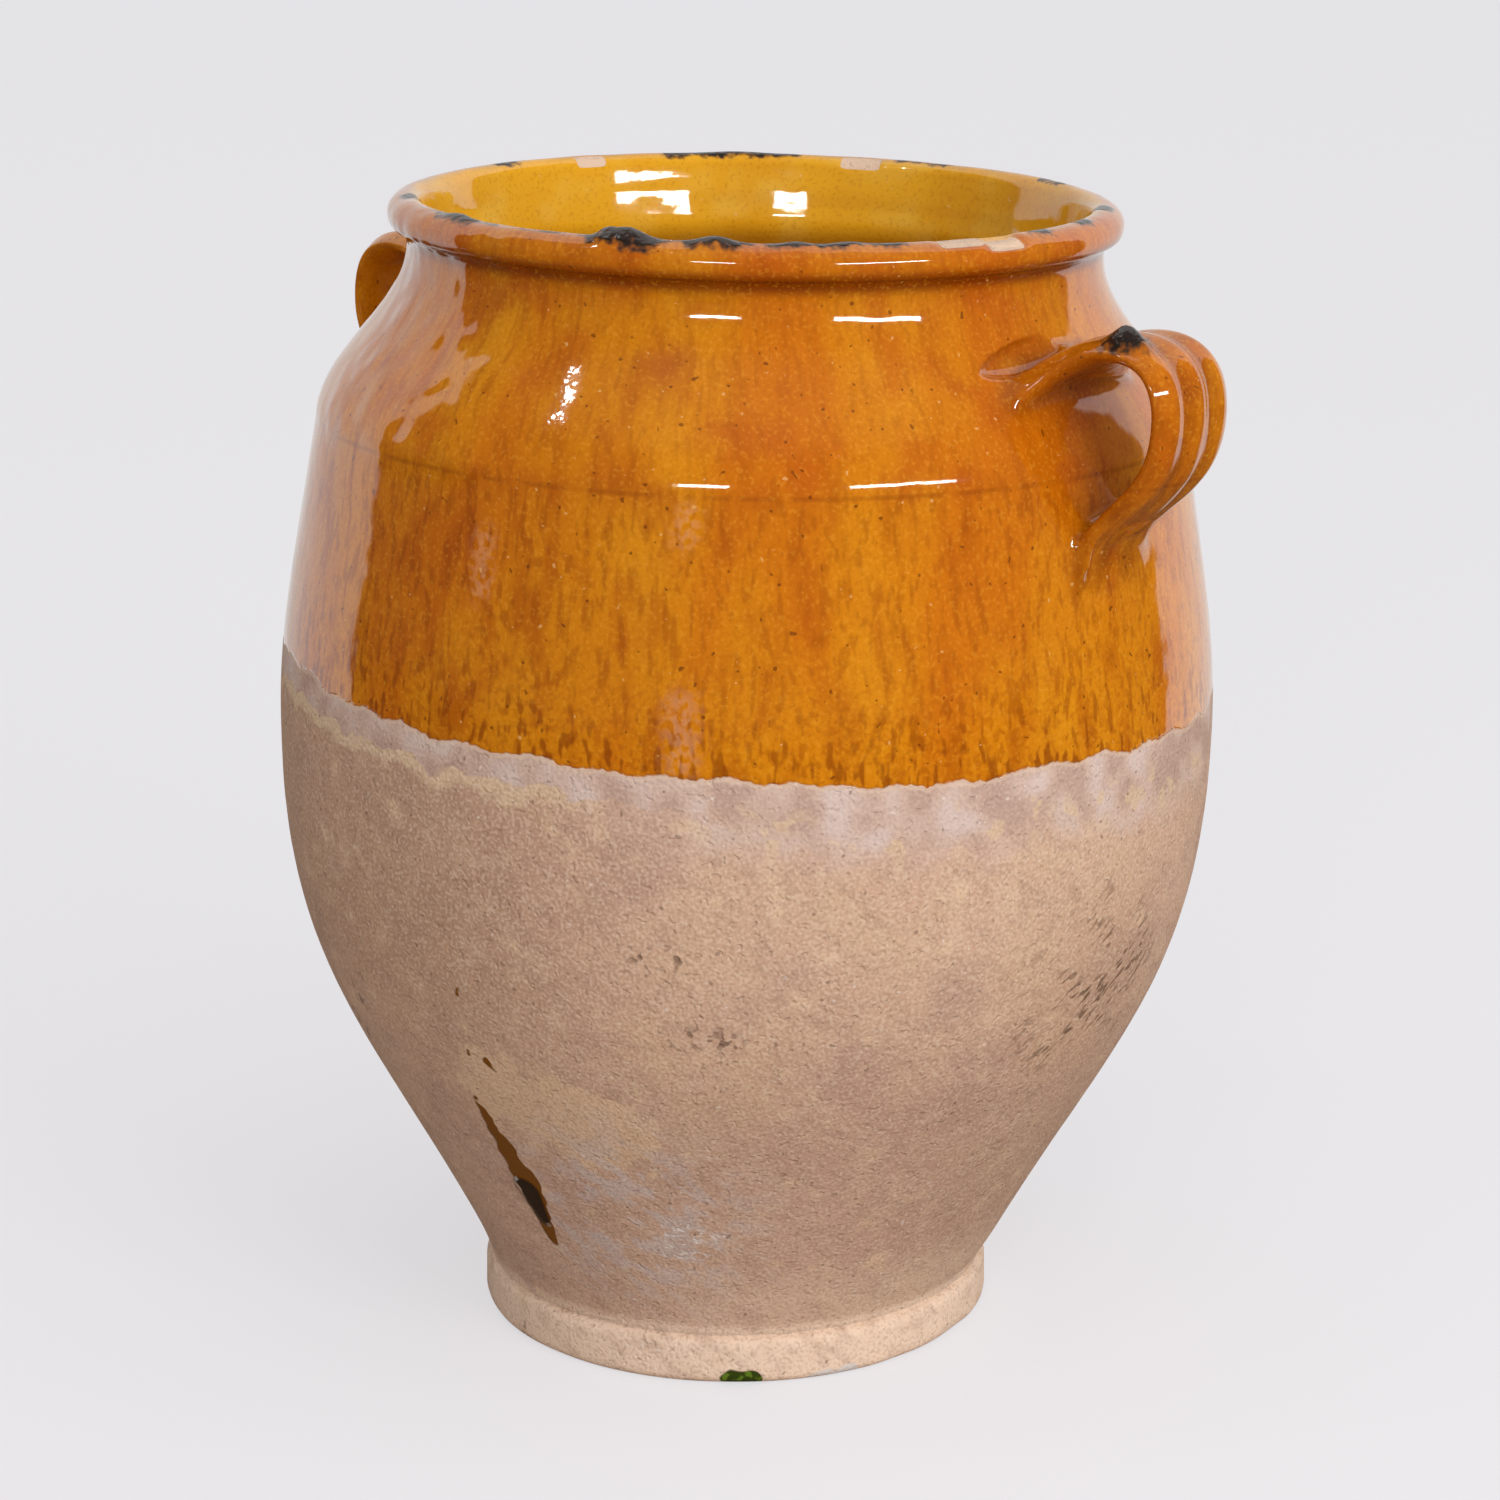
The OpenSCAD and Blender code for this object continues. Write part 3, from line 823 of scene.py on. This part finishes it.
def buildThrownSurface():
    tree = bpy.data.node_groups.new("thrownSurface", "GeometryNodeTree")
    face = tree.interface
    face.new_socket("Geometry", in_out="INPUT", socket_type="NodeSocketGeometry")
    for name in thrownSurface:
        face.new_socket(name, in_out="INPUT", socket_type="NodeSocketFloat")
    face.new_socket("Finish", in_out="INPUT", socket_type="NodeSocketMaterial")
    face.new_socket("Geometry", in_out="OUTPUT", socket_type="NodeSocketGeometry")
    node = partial(addNode, tree)
    given = tree.nodes.new("NodeGroupInput").outputs
    place = node("GeometryNodeInputPosition")
    normal = node("GeometryNodeInputNormal")
    level = node("ShaderNodeSeparateXYZ", {0: place}, out=2)
    inside = node("GeometryNodeInputNamedAttribute", {"Name": "inside"}, data_type="FLOAT")

    # noise of one size, counted from its middle or its top, times a depth
    def rippled(where, size, detail, zero, depth):
        scale = node("ShaderNodeMath", {0: 1.0, 1: size}, operation="DIVIDE")
        ripple = node("ShaderNodeTexNoise", {"Vector": where, "W": given["Seed"], "Scale": scale,
                                             "Detail": detail}, noise_dimensions="4D")
        ripple = node("ShaderNodeMath", {0: ripple, 1: zero}, operation="SUBTRACT")
        return node("ShaderNodeMath", {0: ripple, 1: depth}, operation="MULTIPLY")

    # slow wobble, only ever inwards, so that the pot keeps its largest size
    slow = rippled(place, given["Wobble size"], 1.0, 1.0, given["Wobble"])
    # rings left by the fingers, climbing slowly as the wheel turned
    squeezed = node("ShaderNodeVectorMath", {0: place, 1: (4.0, 4.0, 0.0)}, operation="MULTIPLY")
    turns = node("ShaderNodeMath", {0: level, 1: given["Ring spacing"]}, operation="DIVIDE")
    upward = node("ShaderNodeCombineXYZ", {2: turns})
    ringPlace = node("ShaderNodeVectorMath", {0: squeezed, 1: upward}, operation="ADD")
    rings = rippled(ringPlace, 1.0, 2.0, 0.5, given["Ring depth"])
    inner = summed(node, 1.0, (inside, given["Inner rings"]))
    # the glaze's waves, on its own part of the pot only
    waves = rippled(place, given["Wave size"], 0.0, 0.5, given["Wave depth"])
    glazed = overlap(node, (level, *waveLevels))
    total = summed(node, slow, (rings, inner), (waves, glazed))
    lifted = node("ShaderNodeMapRange", {0: level, 1: footLevels[0], 2: footLevels[1]})
    total = node("ShaderNodeMath", {0: total, 1: lifted}, operation="MULTIPLY")
    shift = node("ShaderNodeVectorMath", {0: normal, "Scale": total}, operation="SCALE")
    shaped = node("GeometryNodeSetPosition", {"Geometry": given["Geometry"], "Offset": shift})
    shaped = node("GeometryNodeRealizeInstances", {"Geometry": shaped})
    shaped = node("GeometryNodeSetMaterial", {"Geometry": shaped, "Material": given["Finish"]})
    tree.links.new(shaped, tree.nodes.new("NodeGroupOutput").inputs[0])
    return tree


def givePotSurface(pot, finish):
    tree = buildThrownSurface()
    made = pot.modifiers.new("thrownSurface", "NODES")
    made.node_group = tree
    values = dict(thrownSurface, Finish=finish)
    for item in tree.interface.items_tree:
        if item.in_out == "INPUT" and item.name in values:
            made[item.identifier] = values[item.name]
    mesh = evaluatedMesh(pot)
    pot.modifiers.clear()
    pot.data = mesh
    mesh.name = "potBody"
    print("thrown surface made:", len(mesh.polygons), "faces")


# Noise drawn out down the wall, sizes in millimetres
def runs(node, place, wide, long, seed, detail=1.0):
    reach = potBody["bellyRadius"] / wide
    start = (1.1 * seed, 3.7 * seed, 1.3 * seed)
    flat = node("ShaderNodeVectorMath", {0: place, 1: (1, 1, 0)}, operation="MULTIPLY")
    around = node("ShaderNodeVectorMath", {0: flat}, operation="NORMALIZE")
    turned = node("ShaderNodeVectorMath", {0: around, 1: (reach, reach, 0), 2: start},
                  operation="MULTIPLY_ADD")
    spread = node("ShaderNodeVectorMath", {0: place, 1: (0, 0, 1000 / long), 2: turned},
                  operation="MULTIPLY_ADD")
    return node("ShaderNodeTexNoise", {"Vector": spread, "Scale": 1.0, "Detail": detail})


# Clouds and patches of one size, in millimetres
def patches(node, place, size, seed, detail=1.0):
    start = (0.11 * seed, 0.07 * seed, 0.13 * seed)
    moved = node("ShaderNodeVectorMath", {0: place, 1: start}, operation="ADD")
    return node("ShaderNodeTexNoise", {"Vector": moved, "Scale": 1000 / size, "Detail": detail})


# How near a place is to a straight mark on the wall, from 1 on it to 0 past its width in millimetres
def stroke(node, place, start, end, width, endWidth, soft=0.3):
    start, end = (Vector(onWall(*mark)) * mm for mark in (start, end))
    way = end - start
    away = node("ShaderNodeVectorMath", {0: place, 1: start}, operation="SUBTRACT")
    share = node("ShaderNodeVectorMath", {0: away, 1: way / way.length_squared}, out="Value",
                 operation="DOT_PRODUCT")
    share = node("ShaderNodeClamp", {0: share})
    near = node("ShaderNodeVectorMath", {0: tuple(way), "Scale": share}, operation="SCALE")
    gap = node("ShaderNodeVectorMath", {0: away, 1: near}, out="Value", operation="DISTANCE")
    gap = summed(node, gap, (share, (width - endWidth) * mm))
    return overlap(node, (gap, (width + soft) * mm, (width - soft) * mm))


# How the surfaces shine; crumbs, heights and depths in millimetres, wavers in metres
potFinish = dict(
    ior=1.62, glazeRoughness=0.055, clayRoughness=0.88, sootRoughness=0.24,
    edgeCrumb=1.7, tideCrumb=15.0, dripWaver=(0.0022, 0.0016, 0.0022), runWaver=(0.0026, -0.0026, 0.012),
    glazeHeight=0.4, dripHeight=0.6, bubbleHeight=1.3, sootHeight=0.6, bareDepth=0.5,
    waviness=1.7, dimples=0.08, clayWaves=0.6, clayGrain=0.2, clayPits=0.2, ripple=0.006, brokenRipple=0.017,
)


# The places and patterns that glaze and clay share: one noise for each size of mark
def wallPatterns(node):
    b, f, m = potBody, potFinish, wallMarks
    p = SimpleNamespace()
    for name in ("inside", "soot", "bare", "dipWave", "worn", "smudge", "straw"):
        setattr(p, name, node("ShaderNodeAttribute", attribute_name=name, out="Fac"))
    for name in ("glazeTone", "clayTone"):
        setattr(p, name, node("ShaderNodeAttribute", attribute_name=name, out="Vector"))
    p.place = node("ShaderNodeTexCoord", out="Object")
    flat = node("ShaderNodeVectorMath", {0: p.place, 1: (1, 1, 0)}, operation="MULTIPLY")
    p.around = node("ShaderNodeVectorMath", {0: flat}, operation="NORMALIZE")
    tip, aim = math.sin(math.radians(b["lean"])), math.radians(b["leanDirection"])
    upright = (1000 * tip * math.cos(aim), 1000 * tip * math.sin(aim), 1000)
    p.level, dip = (node("ShaderNodeVectorMath", {0: p.place, 1: way}, out="Value", operation="DOT_PRODUCT")
                    for way in (upright, m["dipSlope"]))
    # where the glaze ends: a tilted dip line with small scallops, cusps down
    crumb = node("ShaderNodeTexNoise", {"Vector": p.place, "Scale": 430, "Detail": 1.0})
    p.edge = summed(node, -m["dipLevel"] - f["edgeCrumb"] / 2, (dip, 1.0), (p.dipWave, 1.0),
                    (crumb, f["edgeCrumb"]))
    p.glazed = either(node, overlap(node, (p.edge, -0.2, 0.2)), p.inside)
    p.outside = summed(node, 1.0, (p.inside, -1.0))
    waver = node("ShaderNodeTexNoise", {"Vector": p.place, "Scale": 55, "Detail": 0.0})
    wavered = node("ShaderNodeVectorMath", {0: waver, 1: f["runWaver"], 2: p.place}, operation="MULTIPLY_ADD")
    p.midRuns = runs(node, wavered, 6.5, 22, 4.0)
    p.fineRuns = runs(node, wavered, 2.3, 6.5, 5.0)
    p.crumbs = patches(node, p.place, 7.5, 44.0, 2.0)
    p.mottle = patches(node, p.place, 2.1, 8.0)
    p.grain = patches(node, p.place, 1.1, 6.0)
    p.clayGrain = node("ShaderNodeTexNoise", {"Vector": p.place, "Scale": 1100, "Detail": 0.0})
    pinholes = patches(node, p.place, 1.7, 9.0, 0.0)
    # pale specks: real cream dots in the clay, and painted glints on the glaze
    p.darkSpeck, p.lightSpeck = (pinholes, 0.79, 0.84), (pinholes, 0.175, 0.13)
    return p


# How far the wall looks to one side, set in between two cosines
def facing(node, p, angle, low, high):
    way = (math.cos(math.radians(angle)), math.sin(math.radians(angle)), 0)
    toward = node("ShaderNodeVectorMath", {0: p.around, 1: way}, out="Value", operation="DOT_PRODUCT")
    return overlap(node, (toward, low, high))


# How near a mark is, between two distances in millimetres
def nearTo(node, p, mark, far, close):
    spot = Vector(onWall(*wallMarks[mark])) * mm
    away = node("ShaderNodeVectorMath", {0: p.place, 1: spot}, out="Value", operation="DISTANCE")
    return overlap(node, (away, far * mm, close * mm))


# Patches drawn out thin, after a turn up and a turn round in degrees
def drawnOut(node, p, up, turn, thin, size, seed, detail=1.0):
    laid = node("ShaderNodeMapping", {0: p.place, 2: (math.radians(up), 0.0, math.radians(turn)),
                                      3: (1.0, 1.0, thin)}, vector_type="TEXTURE")
    return patches(node, laid, size, seed, detail)


# Amber with iron streaks, more of them at the left and below, and a line along the crease
def amberGlaze(node, p):
    left, right = facing(node, p, -112, 0.25, 0.95), facing(node, p, 8, 0.2, 0.95)
    streaky = summed(node, 0.36, (left, 0.55), (right, 0.34))
    fewerAbove = summed(node, 1.0, (overlap(node, (p.level, 254.0, 262.0)), -0.4))
    streaky = overlap(node, streaky, fewerAbove, p.outside)
    fromCrease = summed(node, potBody["creaseDrop"] - potBody["height"] - 1.0, (p.level, 1.0))
    fromCrease = node("ShaderNodeMath", {0: fromCrease}, operation="ABSOLUTE")
    return laidOver(node, p.glazeTone, [
        ([(p.midRuns, 0.46, 0.74), streaky], 0.66, "#A44603"),
        ([(p.fineRuns, 0.47, 0.70), streaky], 0.54, "#8E3C02"),
        ([(p.grain, 0.46, 0.30)], 0.22, "#A85404"),
        ([(p.grain, 0.54, 0.70)], 0.2, "#F0AC34"),
        ([(p.mottle, 0.50, 0.66), (p.edge, 44.0, 2.0), p.outside], 0.42, "#A25004"),
        ([(p.fineRuns, 0.54, 0.66), (p.edge, 24.0, 1.0), p.outside], 0.45, "#7A3002"),
        ([p.darkSpeck, p.outside], 0.7, "#6A3004"),
        # painted glints: pale specks that stand for highlights on small bubbles in the glaze
        ([p.lightSpeck], 0.45, "#F2C27C"),
        ([(fromCrease, 0.95, 0.2), (p.crumbs, 0.34, 0.56), p.outside], 0.35, "#8A3C04"),
        ([(p.mottle, 0.36, 0.60), p.worn], 0.34, "#E9AE84"),
    ])


# Buff with mauve and straw clouds and grain; below the glaze a ragged band of slip, with cream flakes
# under it at the left
def bareClay(node, p):
    stain = nearTo(node, p, "stain", 44, 12)
    slipClouds = patches(node, p.place, 13, 47.0)
    smears = drawnOut(node, p, -36, -50, 0.4, 10, 45.0, 2.0)
    scratches = drawnOut(node, p, 34, -20, 0.3, 5.0, 34.0)
    clayLeft = facing(node, p, -105, 0.45, 0.85)
    crumb = potFinish["tideCrumb"]
    tideRough = node("ShaderNodeTexNoise", {"Vector": p.place, "Scale": 85, "Detail": 3.0, "Roughness": 0.6})
    tide = summed(node, -crumb / 2, (p.edge, 1.0), (clayLeft, -1.0), (tideRough, crumb))
    slipCrisp = overlap(node, (tide, -8.85, -8.15))
    slipSoft = overlap(node, (tide, -26.0, -9.0))
    slip = node("ShaderNodeMix", {0: clayLeft, 2: slipSoft, 3: slipCrisp})
    unslipped = summed(node, 1.0, (slip, -0.45))
    uncovered = summed(node, 1.0, (slipCrisp, -1.0))
    creamTide = summed(node, tide, (clayLeft, 24.0))
    strawy = summed(node, p.straw, (p.crumbs, 2.6))
    return laidOver(node, p.clayTone, [
        ([(p.crumbs, 0.50, 0.70)], 0.36, "#DEBEA0"),
        ([(smears, 0.48, 0.72)], 0.36, "#B08C78"),
        ([(strawy, 1.72, 1.96)], 0.6, "#E2BF9C"),
        ([(smears, 0.56, 0.40), nearTo(node, p, "paleVein", 52, 12)], 0.7, "#C9B9B6"),
        ([slip], 0.7, "#CEB2A5"),
        ([(slipClouds, 0.46, 0.68), slip], 0.62, "#DDCAC4"),
        ([(slipClouds, 0.50, 0.36), slip], 0.5, "#B08C7E"),
        ([(creamTide, 10.4, 13.2), uncovered, facing(node, p, -112, 0.6, 0.85)], 0.8, "#DFC2A0"),
        ([(p.crumbs, 0.58, 0.61), (tide, -4.0, -14.0), slip], 0.8, "#DDBE9A"),
        ([(p.clayGrain, 0.56, 0.70), unslipped], 0.28, "#EED8C2"),
        ([(p.clayGrain, 0.46, 0.32), unslipped], 0.20, "#8E6A54"),
        ([(p.mottle, 0.52, 0.60), p.smudge], 0.7, "#5A3C28"),
        ([p.darkSpeck], 0.5, "#6A4C3A"),
        ([p.lightSpeck], 0.5, "#F0E4DA"),
        ([(p.mottle, 0.56, 0.64), nearTo(node, p, "saltSpecks", 12, 4)], 0.6, "#ECE4E0"),
        ([(scratches, 0.53, 0.60), (slipClouds, 0.42, 0.58), stain], 0.72, "#5C3C1E"),
        ([(p.bare, 0.4, 0.6)], 1, "#E2C2A6"),
    ])


# A run of glaze that dripped past the dip line, with a burnt bubble in it, small splashes, bared chips
# and soot
def addMarks(node, p):
    shift = Vector(potFinish["dripWaver"])
    warp = node("ShaderNodeTexNoise", {"Vector": p.place, "Scale": 300, "Detail": 0.0})
    place = node("ShaderNodeVectorMath", {0: warp, 1: shift, 2: p.place}, operation="MULTIPLY_ADD")
    place = node("ShaderNodeVectorMath", {0: place, 1: shift / 2}, operation="SUBTRACT")
    p.drip = either(node, *(stroke(node, place, *mark) for mark in wallMarks["drips"]))
    p.green = stroke(node, place, *wallMarks["green"])
    p.white = stroke(node, place, *wallMarks["white"])
    p.bubble = stroke(node, p.place, *wallMarks["bubble"])
    p.bared = overlap(node, (p.bare, 0.42, 0.6))
    crumbly = summed(node, -1.1, (p.mottle, 1.1), (p.crumbs, 1.1))
    sooty = node("ShaderNodeMath", {0: p.soot, 1: 4.0}, operation="MULTIPLY", use_clamp=True)
    p.burnt = summed(node, p.soot, (sooty, crumbly))
    p.black = overlap(node, (p.burnt, 0.4, 0.72))
    unbared = summed(node, 1.0, (p.bared, -1.0))
    p.shiny = either(node, overlap(node, p.glazed, unbared), p.drip, p.green)


# Heights in millimetres: the glaze ruffled on the left shoulder, where a few small lights break up
def reliefOf(node, p):
    f = potFinish
    waves = patches(node, p.place, 13, 66.0)
    dimples = patches(node, p.place, 5.5, 61.0, 0.0)
    ripple = patches(node, p.place, 1.3, 67.0, 0.0)
    ruffled = overlap(node, facing(node, p, -104, 0.90, 0.985), (p.level, 252.0, 262.0), waves)
    broken = overlap(node, facing(node, p, -80, 0.985, 0.999), (p.level, 262.0, 268.0))
    broken = summed(node, f["ripple"], (broken, f["brokenRipple"]))
    soft = summed(node, 0.0, (dimples, f["dimples"]), (ruffled, f["waviness"]), (ripple, broken))
    pits = overlap(node, (p.mottle, 0.60, 0.72))
    pitted = summed(node, 0.0, (p.clayGrain, f["clayGrain"]), (pits, -f["clayPits"]), (waves, f["clayWaves"]))
    coat = either(node, overlap(node, (p.edge, -0.5, 0.9)), p.inside)
    blisters = overlap(node, (p.soot, 0.3, 0.8), p.mottle)
    height = node("ShaderNodeMix", {0: p.shiny, 2: pitted, 3: soft})
    return summed(node, height, (coat, f["glazeHeight"]), (p.drip, f["dripHeight"]),
                  (p.bubble, f["bubbleHeight"]), (blisters, f["sootHeight"]), (p.bared, -f["bareDepth"]))


# Lead-glazed earthenware, dipped to below the shoulder: thin clear amber over buff clay, so that it
# goes pale on edges, brown where it pools and runs down in iron streaks; the bare clay stays matt
def leadGlazedEarthenware():
    finish = bpy.data.materials.new("leadGlazedEarthenware")
    finish.use_nodes = True
    tree = finish.node_tree
    tree.nodes.clear()
    node = partial(addNode, tree)
    p = wallPatterns(node)
    addMarks(node, p)
    clay = bareClay(node, p)
    fromEdge = node("ShaderNodeMath", {0: summed(node, 0.35, (p.edge, 1.0))}, operation="ABSOLUTE")
    tone = laidOver(node, clay, [
        ([p.glazed], 1, amberGlaze(node, p)),
        ([p.bared], 1, clay),
        ([(fromEdge, 0.9, 0.2), p.outside], 0.6, "#E2C4AC"),
        ([p.drip], 1, "#7C4A0A"),
        ([p.drip, p.bubble], 0.97, "#1E1410"),
        ([p.white], 0.9, "#DAD4D0"),
        ([p.green], 1, "#34440F"),
        ([(p.mottle, 0.52, 0.66), p.green], 0.7, "#6E8E2A"),
        ([(p.burnt, 0.12, 0.52)], 0.8, "#5E3A22"),
        ([p.black], 0.95, "#1E1613"),
    ])
    # glaze like glass, clay dry, soot blistered
    f = potFinish
    rough = node("ShaderNodeMapRange", {0: p.shiny, 3: f["clayRoughness"], 4: f["glazeRoughness"]})
    rough = node("ShaderNodeMix", {0: p.black, 2: rough, 3: f["sootRoughness"]})
    normal = node("ShaderNodeBump", {"Height": reliefOf(node, p), "Distance": mm, "Strength": 1.0})
    skin = node("ShaderNodeBsdfPrincipled", {"Base Color": tone, "Roughness": rough, "Normal": normal,
                                             "IOR": f["ior"]})
    tree.links.new(skin, tree.nodes.new("ShaderNodeOutputMaterial").inputs["Surface"])
    return finish


body = throwBody()
straps = [pullStrap("strapRight", 0, 1), pullStrap("strapLeft", potHandle["second"], -1)]
poolingAndHollowShade, strapTrees = weldStraps(body, straps)
for strap in straps:
    bpy.data.objects.remove(strap)
pot = body
pot.name = "pot_body"
shadePot(pot.data, poolingAndHollowShade, strapTrees)
givePotSurface(pot, leadGlazedEarthenware())
print("triangles:", sum(len(p.vertices) - 2 for p in pot.data.polygons))
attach(pot, "root")
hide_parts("pot")


# The camera stands where the photograph was taken from
photoView = dict(place=(0.6781, -0.8016, 0.453), heading=40.0, downward=15.56, lens=92.98, sensor=36.0)


def placeCamera():
    lens = bpy.data.cameras.new("camera")
    lens.lens = photoView["lens"]
    lens.sensor_width = photoView["sensor"]
    camera = bpy.data.objects.new("camera", lens)
    camera.location = photoView["place"]
    camera.rotation_euler = (math.radians(90 - photoView["downward"]), 0, math.radians(photoView["heading"]))
    bpy.context.scene.collection.objects.link(camera)
    bpy.context.scene.camera = camera


# Two long soft lights high in front and three small ones far left; azimuths are taken from the
# viewer's side, to the right, and the room's own edges are heights or shares of a direction
studio = dict(
    distance=2.2, aim=0.2,
    lights=[dict(name="leftSoftLight", azimuth=-12.0, elevation=20.0, size=(0.46, 0.13), radiance=28.0),
            dict(name="rightSoftLight", azimuth=40.0, elevation=20.0, size=(1.05, 0.13), radiance=34.0),
            dict(name="sideLow", azimuth=-70.4, elevation=51.2, size=(0.034, 0.035), radiance=110.0),
            dict(name="sideMiddle", azimuth=-73.1, elevation=53.6, size=(0.042, 0.035), radiance=110.0),
            dict(name="sideHigh", azimuth=-77.2, elevation=57.0, size=(0.038, 0.04), radiance=110.0)],
    wall=1.08, wallBehind=0.80, wallEdge=0.4325, wallBlur=0.02, wallTurn=0.0963, wallHigh=0.42,
    wallRise=(0.40, 0.85), wallFade=(-0.55, -1.0), wallFoot=(-0.46, -0.38),
    room=0.08, ceiling=0.24, ceilingRise=(0.70, 0.98), boards="#5C4A3C", boardsRise=(-0.02, -0.06),
    fill=0.17, key=0.86, keyAzimuth=34.0, keyElevation=35.0, keySpan=(-0.2, 1.0), keyTone="#FDFDFF",
    backdrop="#F6F5F9", floorTone="#E9E6E5", floorBounce="#B9AB9D", floorGlow=0.62, floorReach=9.0,
)


def towards(azimuth, elevation=0.0):
    around = math.radians(azimuth - 90 + photoView["heading"])
    rise = math.radians(elevation)
    return Vector((math.cos(around) * math.cos(rise), math.sin(around) * math.cos(rise), math.sin(rise)))


def hangLight(name, azimuth, elevation, size, radiance):
    lamp = bpy.data.lights.new(name, "AREA")
    lamp.shape = "RECTANGLE"
    lamp.size, lamp.size_y = size
    lamp.energy = radiance * size[0] * size[1] * math.pi
    toward = towards(azimuth, elevation)
    light = bpy.data.objects.new(name, lamp)
    light.location = Vector((0, 0, studio["aim"])) + toward * studio["distance"]
    light.rotation_euler = toward.to_track_quat("Z", "Y").to_euler()
    bpy.context.scene.collection.objects.link(light)


# The room that the gloss shows: a pale wall behind and beside the pot, dim towards the viewer with boards
# below and a lighter ceiling; what lights the matt clay is softer and comes from the front right
def surroundRoom():
    s = studio
    world = bpy.data.worlds.new("studioRoom")
    world.use_nodes = True
    tree = world.node_tree
    tree.nodes.clear()
    node = partial(addNode, tree)
    way = node("ShaderNodeTexCoord", out="Generated")
    flat = node("ShaderNodeVectorMath", {0: way, 1: (1, 1, 0)}, operation="MULTIPLY")
    flat = node("ShaderNodeVectorMath", {0: flat}, operation="NORMALIZE")
    ahead, right, key = (
        node("ShaderNodeVectorMath", {0: looking, 1: toward}, out="Value", operation="DOT_PRODUCT")
        for looking, toward in ((flat, towards(0)), (flat, towards(90)),
                                (way, towards(s["keyAzimuth"], s["keyElevation"]))))
    rise = node("ShaderNodeSeparateXYZ", {0: way}, out=2)

    onRight = node("ShaderNodeMath", {0: right, 1: 0.0}, operation="MAXIMUM")
    foot, low, high, ceiling = (
        node("ShaderNodeMapRange", {0: rise, 1: start, 2: stop, 3: first, 4: last})
        for (start, stop), first, last in ((s["wallFoot"], 0.0, 1.0), (s["boardsRise"], 0.0, 1.0),
                                           (s["wallRise"], 0.0, -s["wallHigh"]),
                                           (s["ceilingRise"], s["room"], s["ceiling"])))
    turned = summed(node, ahead, (right, s["wallTurn"]), (high, onRight))
    wall = overlap(node, (turned, s["wallBlur"] - s["wallEdge"], -s["wallBlur"] - s["wallEdge"]))
    start, stop = s["wallFade"]
    paleness = node("ShaderNodeMapRange", {0: turned, 1: start, 2: stop, 3: s["wall"], 4: s["wallBehind"]})
    glow = node("ShaderNodeMix", {0: wall, 2: ceiling, 3: paleness})
    foot = overlap(node, wall, foot)
    low = node("ShaderNodeMath", {0: low, 1: foot}, operation="SUBTRACT", use_clamp=True)
    room = node("ShaderNodeCombineColor", {0: glow, 1: glow, 2: glow})
    room = node("ShaderNodeMix", {0: low, 6: room, 7: linear(s["boards"])}, data_type="RGBA")
    lit = overlap(node, (key, *s["keySpan"]))
    lit = summed(node, s["fill"], (lit, s["key"]))
    reflected = node("ShaderNodeBackground", {0: room, 1: 1.0})
    lit = node("ShaderNodeBackground", {0: linear(s["keyTone"]), 1: lit})
    seen = node("ShaderNodeBackground", {0: linear(s["backdrop"]), 1: 1.0})
    diffuseRay, cameraRay = (node("ShaderNodeLightPath", out=ray)
                             for ray in ("Is Diffuse Ray", "Is Camera Ray"))
    both = node("ShaderNodeMixShader", {0: diffuseRay, 1: reflected, 2: lit})
    both = node("ShaderNodeMixShader", {0: cameraRay, 1: both, 2: seen})
    tree.links.new(both, tree.nodes.new("ShaderNodeOutputWorld").inputs["Surface"])
    bpy.context.scene.world = world


# A plain pale floor that keeps the shadow; the gloss looks past it into the room
def layFloor():
    s = studio
    finish = bpy.data.materials.new("paleMattFloor")
    finish.use_nodes = True
    tree = finish.node_tree
    tree.nodes.clear()
    node = partial(addNode, tree)
    cameraRay, glossyRay = (node("ShaderNodeLightPath", out=ray)
                            for ray in ("Is Camera Ray", "Is Glossy Ray"))
    tone = laidOver(node, linear(s["floorBounce"]), [([cameraRay], 1, s["floorTone"])])
    matt = node("ShaderNodeBsdfDiffuse", {"Color": tone})
    glow = node("ShaderNodeEmission", {"Color": linear(s["backdrop"]), "Strength": 1.0})
    share = overlap(node, cameraRay, s["floorGlow"])
    both = node("ShaderNodeMixShader", {0: share, 1: matt, 2: glow})
    clear = node("ShaderNodeBsdfTransparent")
    both = node("ShaderNodeMixShader", {0: glossyRay, 1: both, 2: clear})
    tree.links.new(both, tree.nodes.new("ShaderNodeOutputMaterial").inputs["Surface"])
    square = s["floorReach"] * np.array([[-1, -1, 0], [1, -1, 0], [1, 1, 0], [-1, 1, 0]])
    floor = meshObject("floor", square, [(0, 1, 2, 3)])
    floor.data.materials.append(finish)


placeCamera()
for light in studio["lights"]:
    hangLight(**light)
surroundRoom()
layFloor()
bpy.context.scene.view_settings.view_transform = "Standard"
print("camera, lights and floor placed")
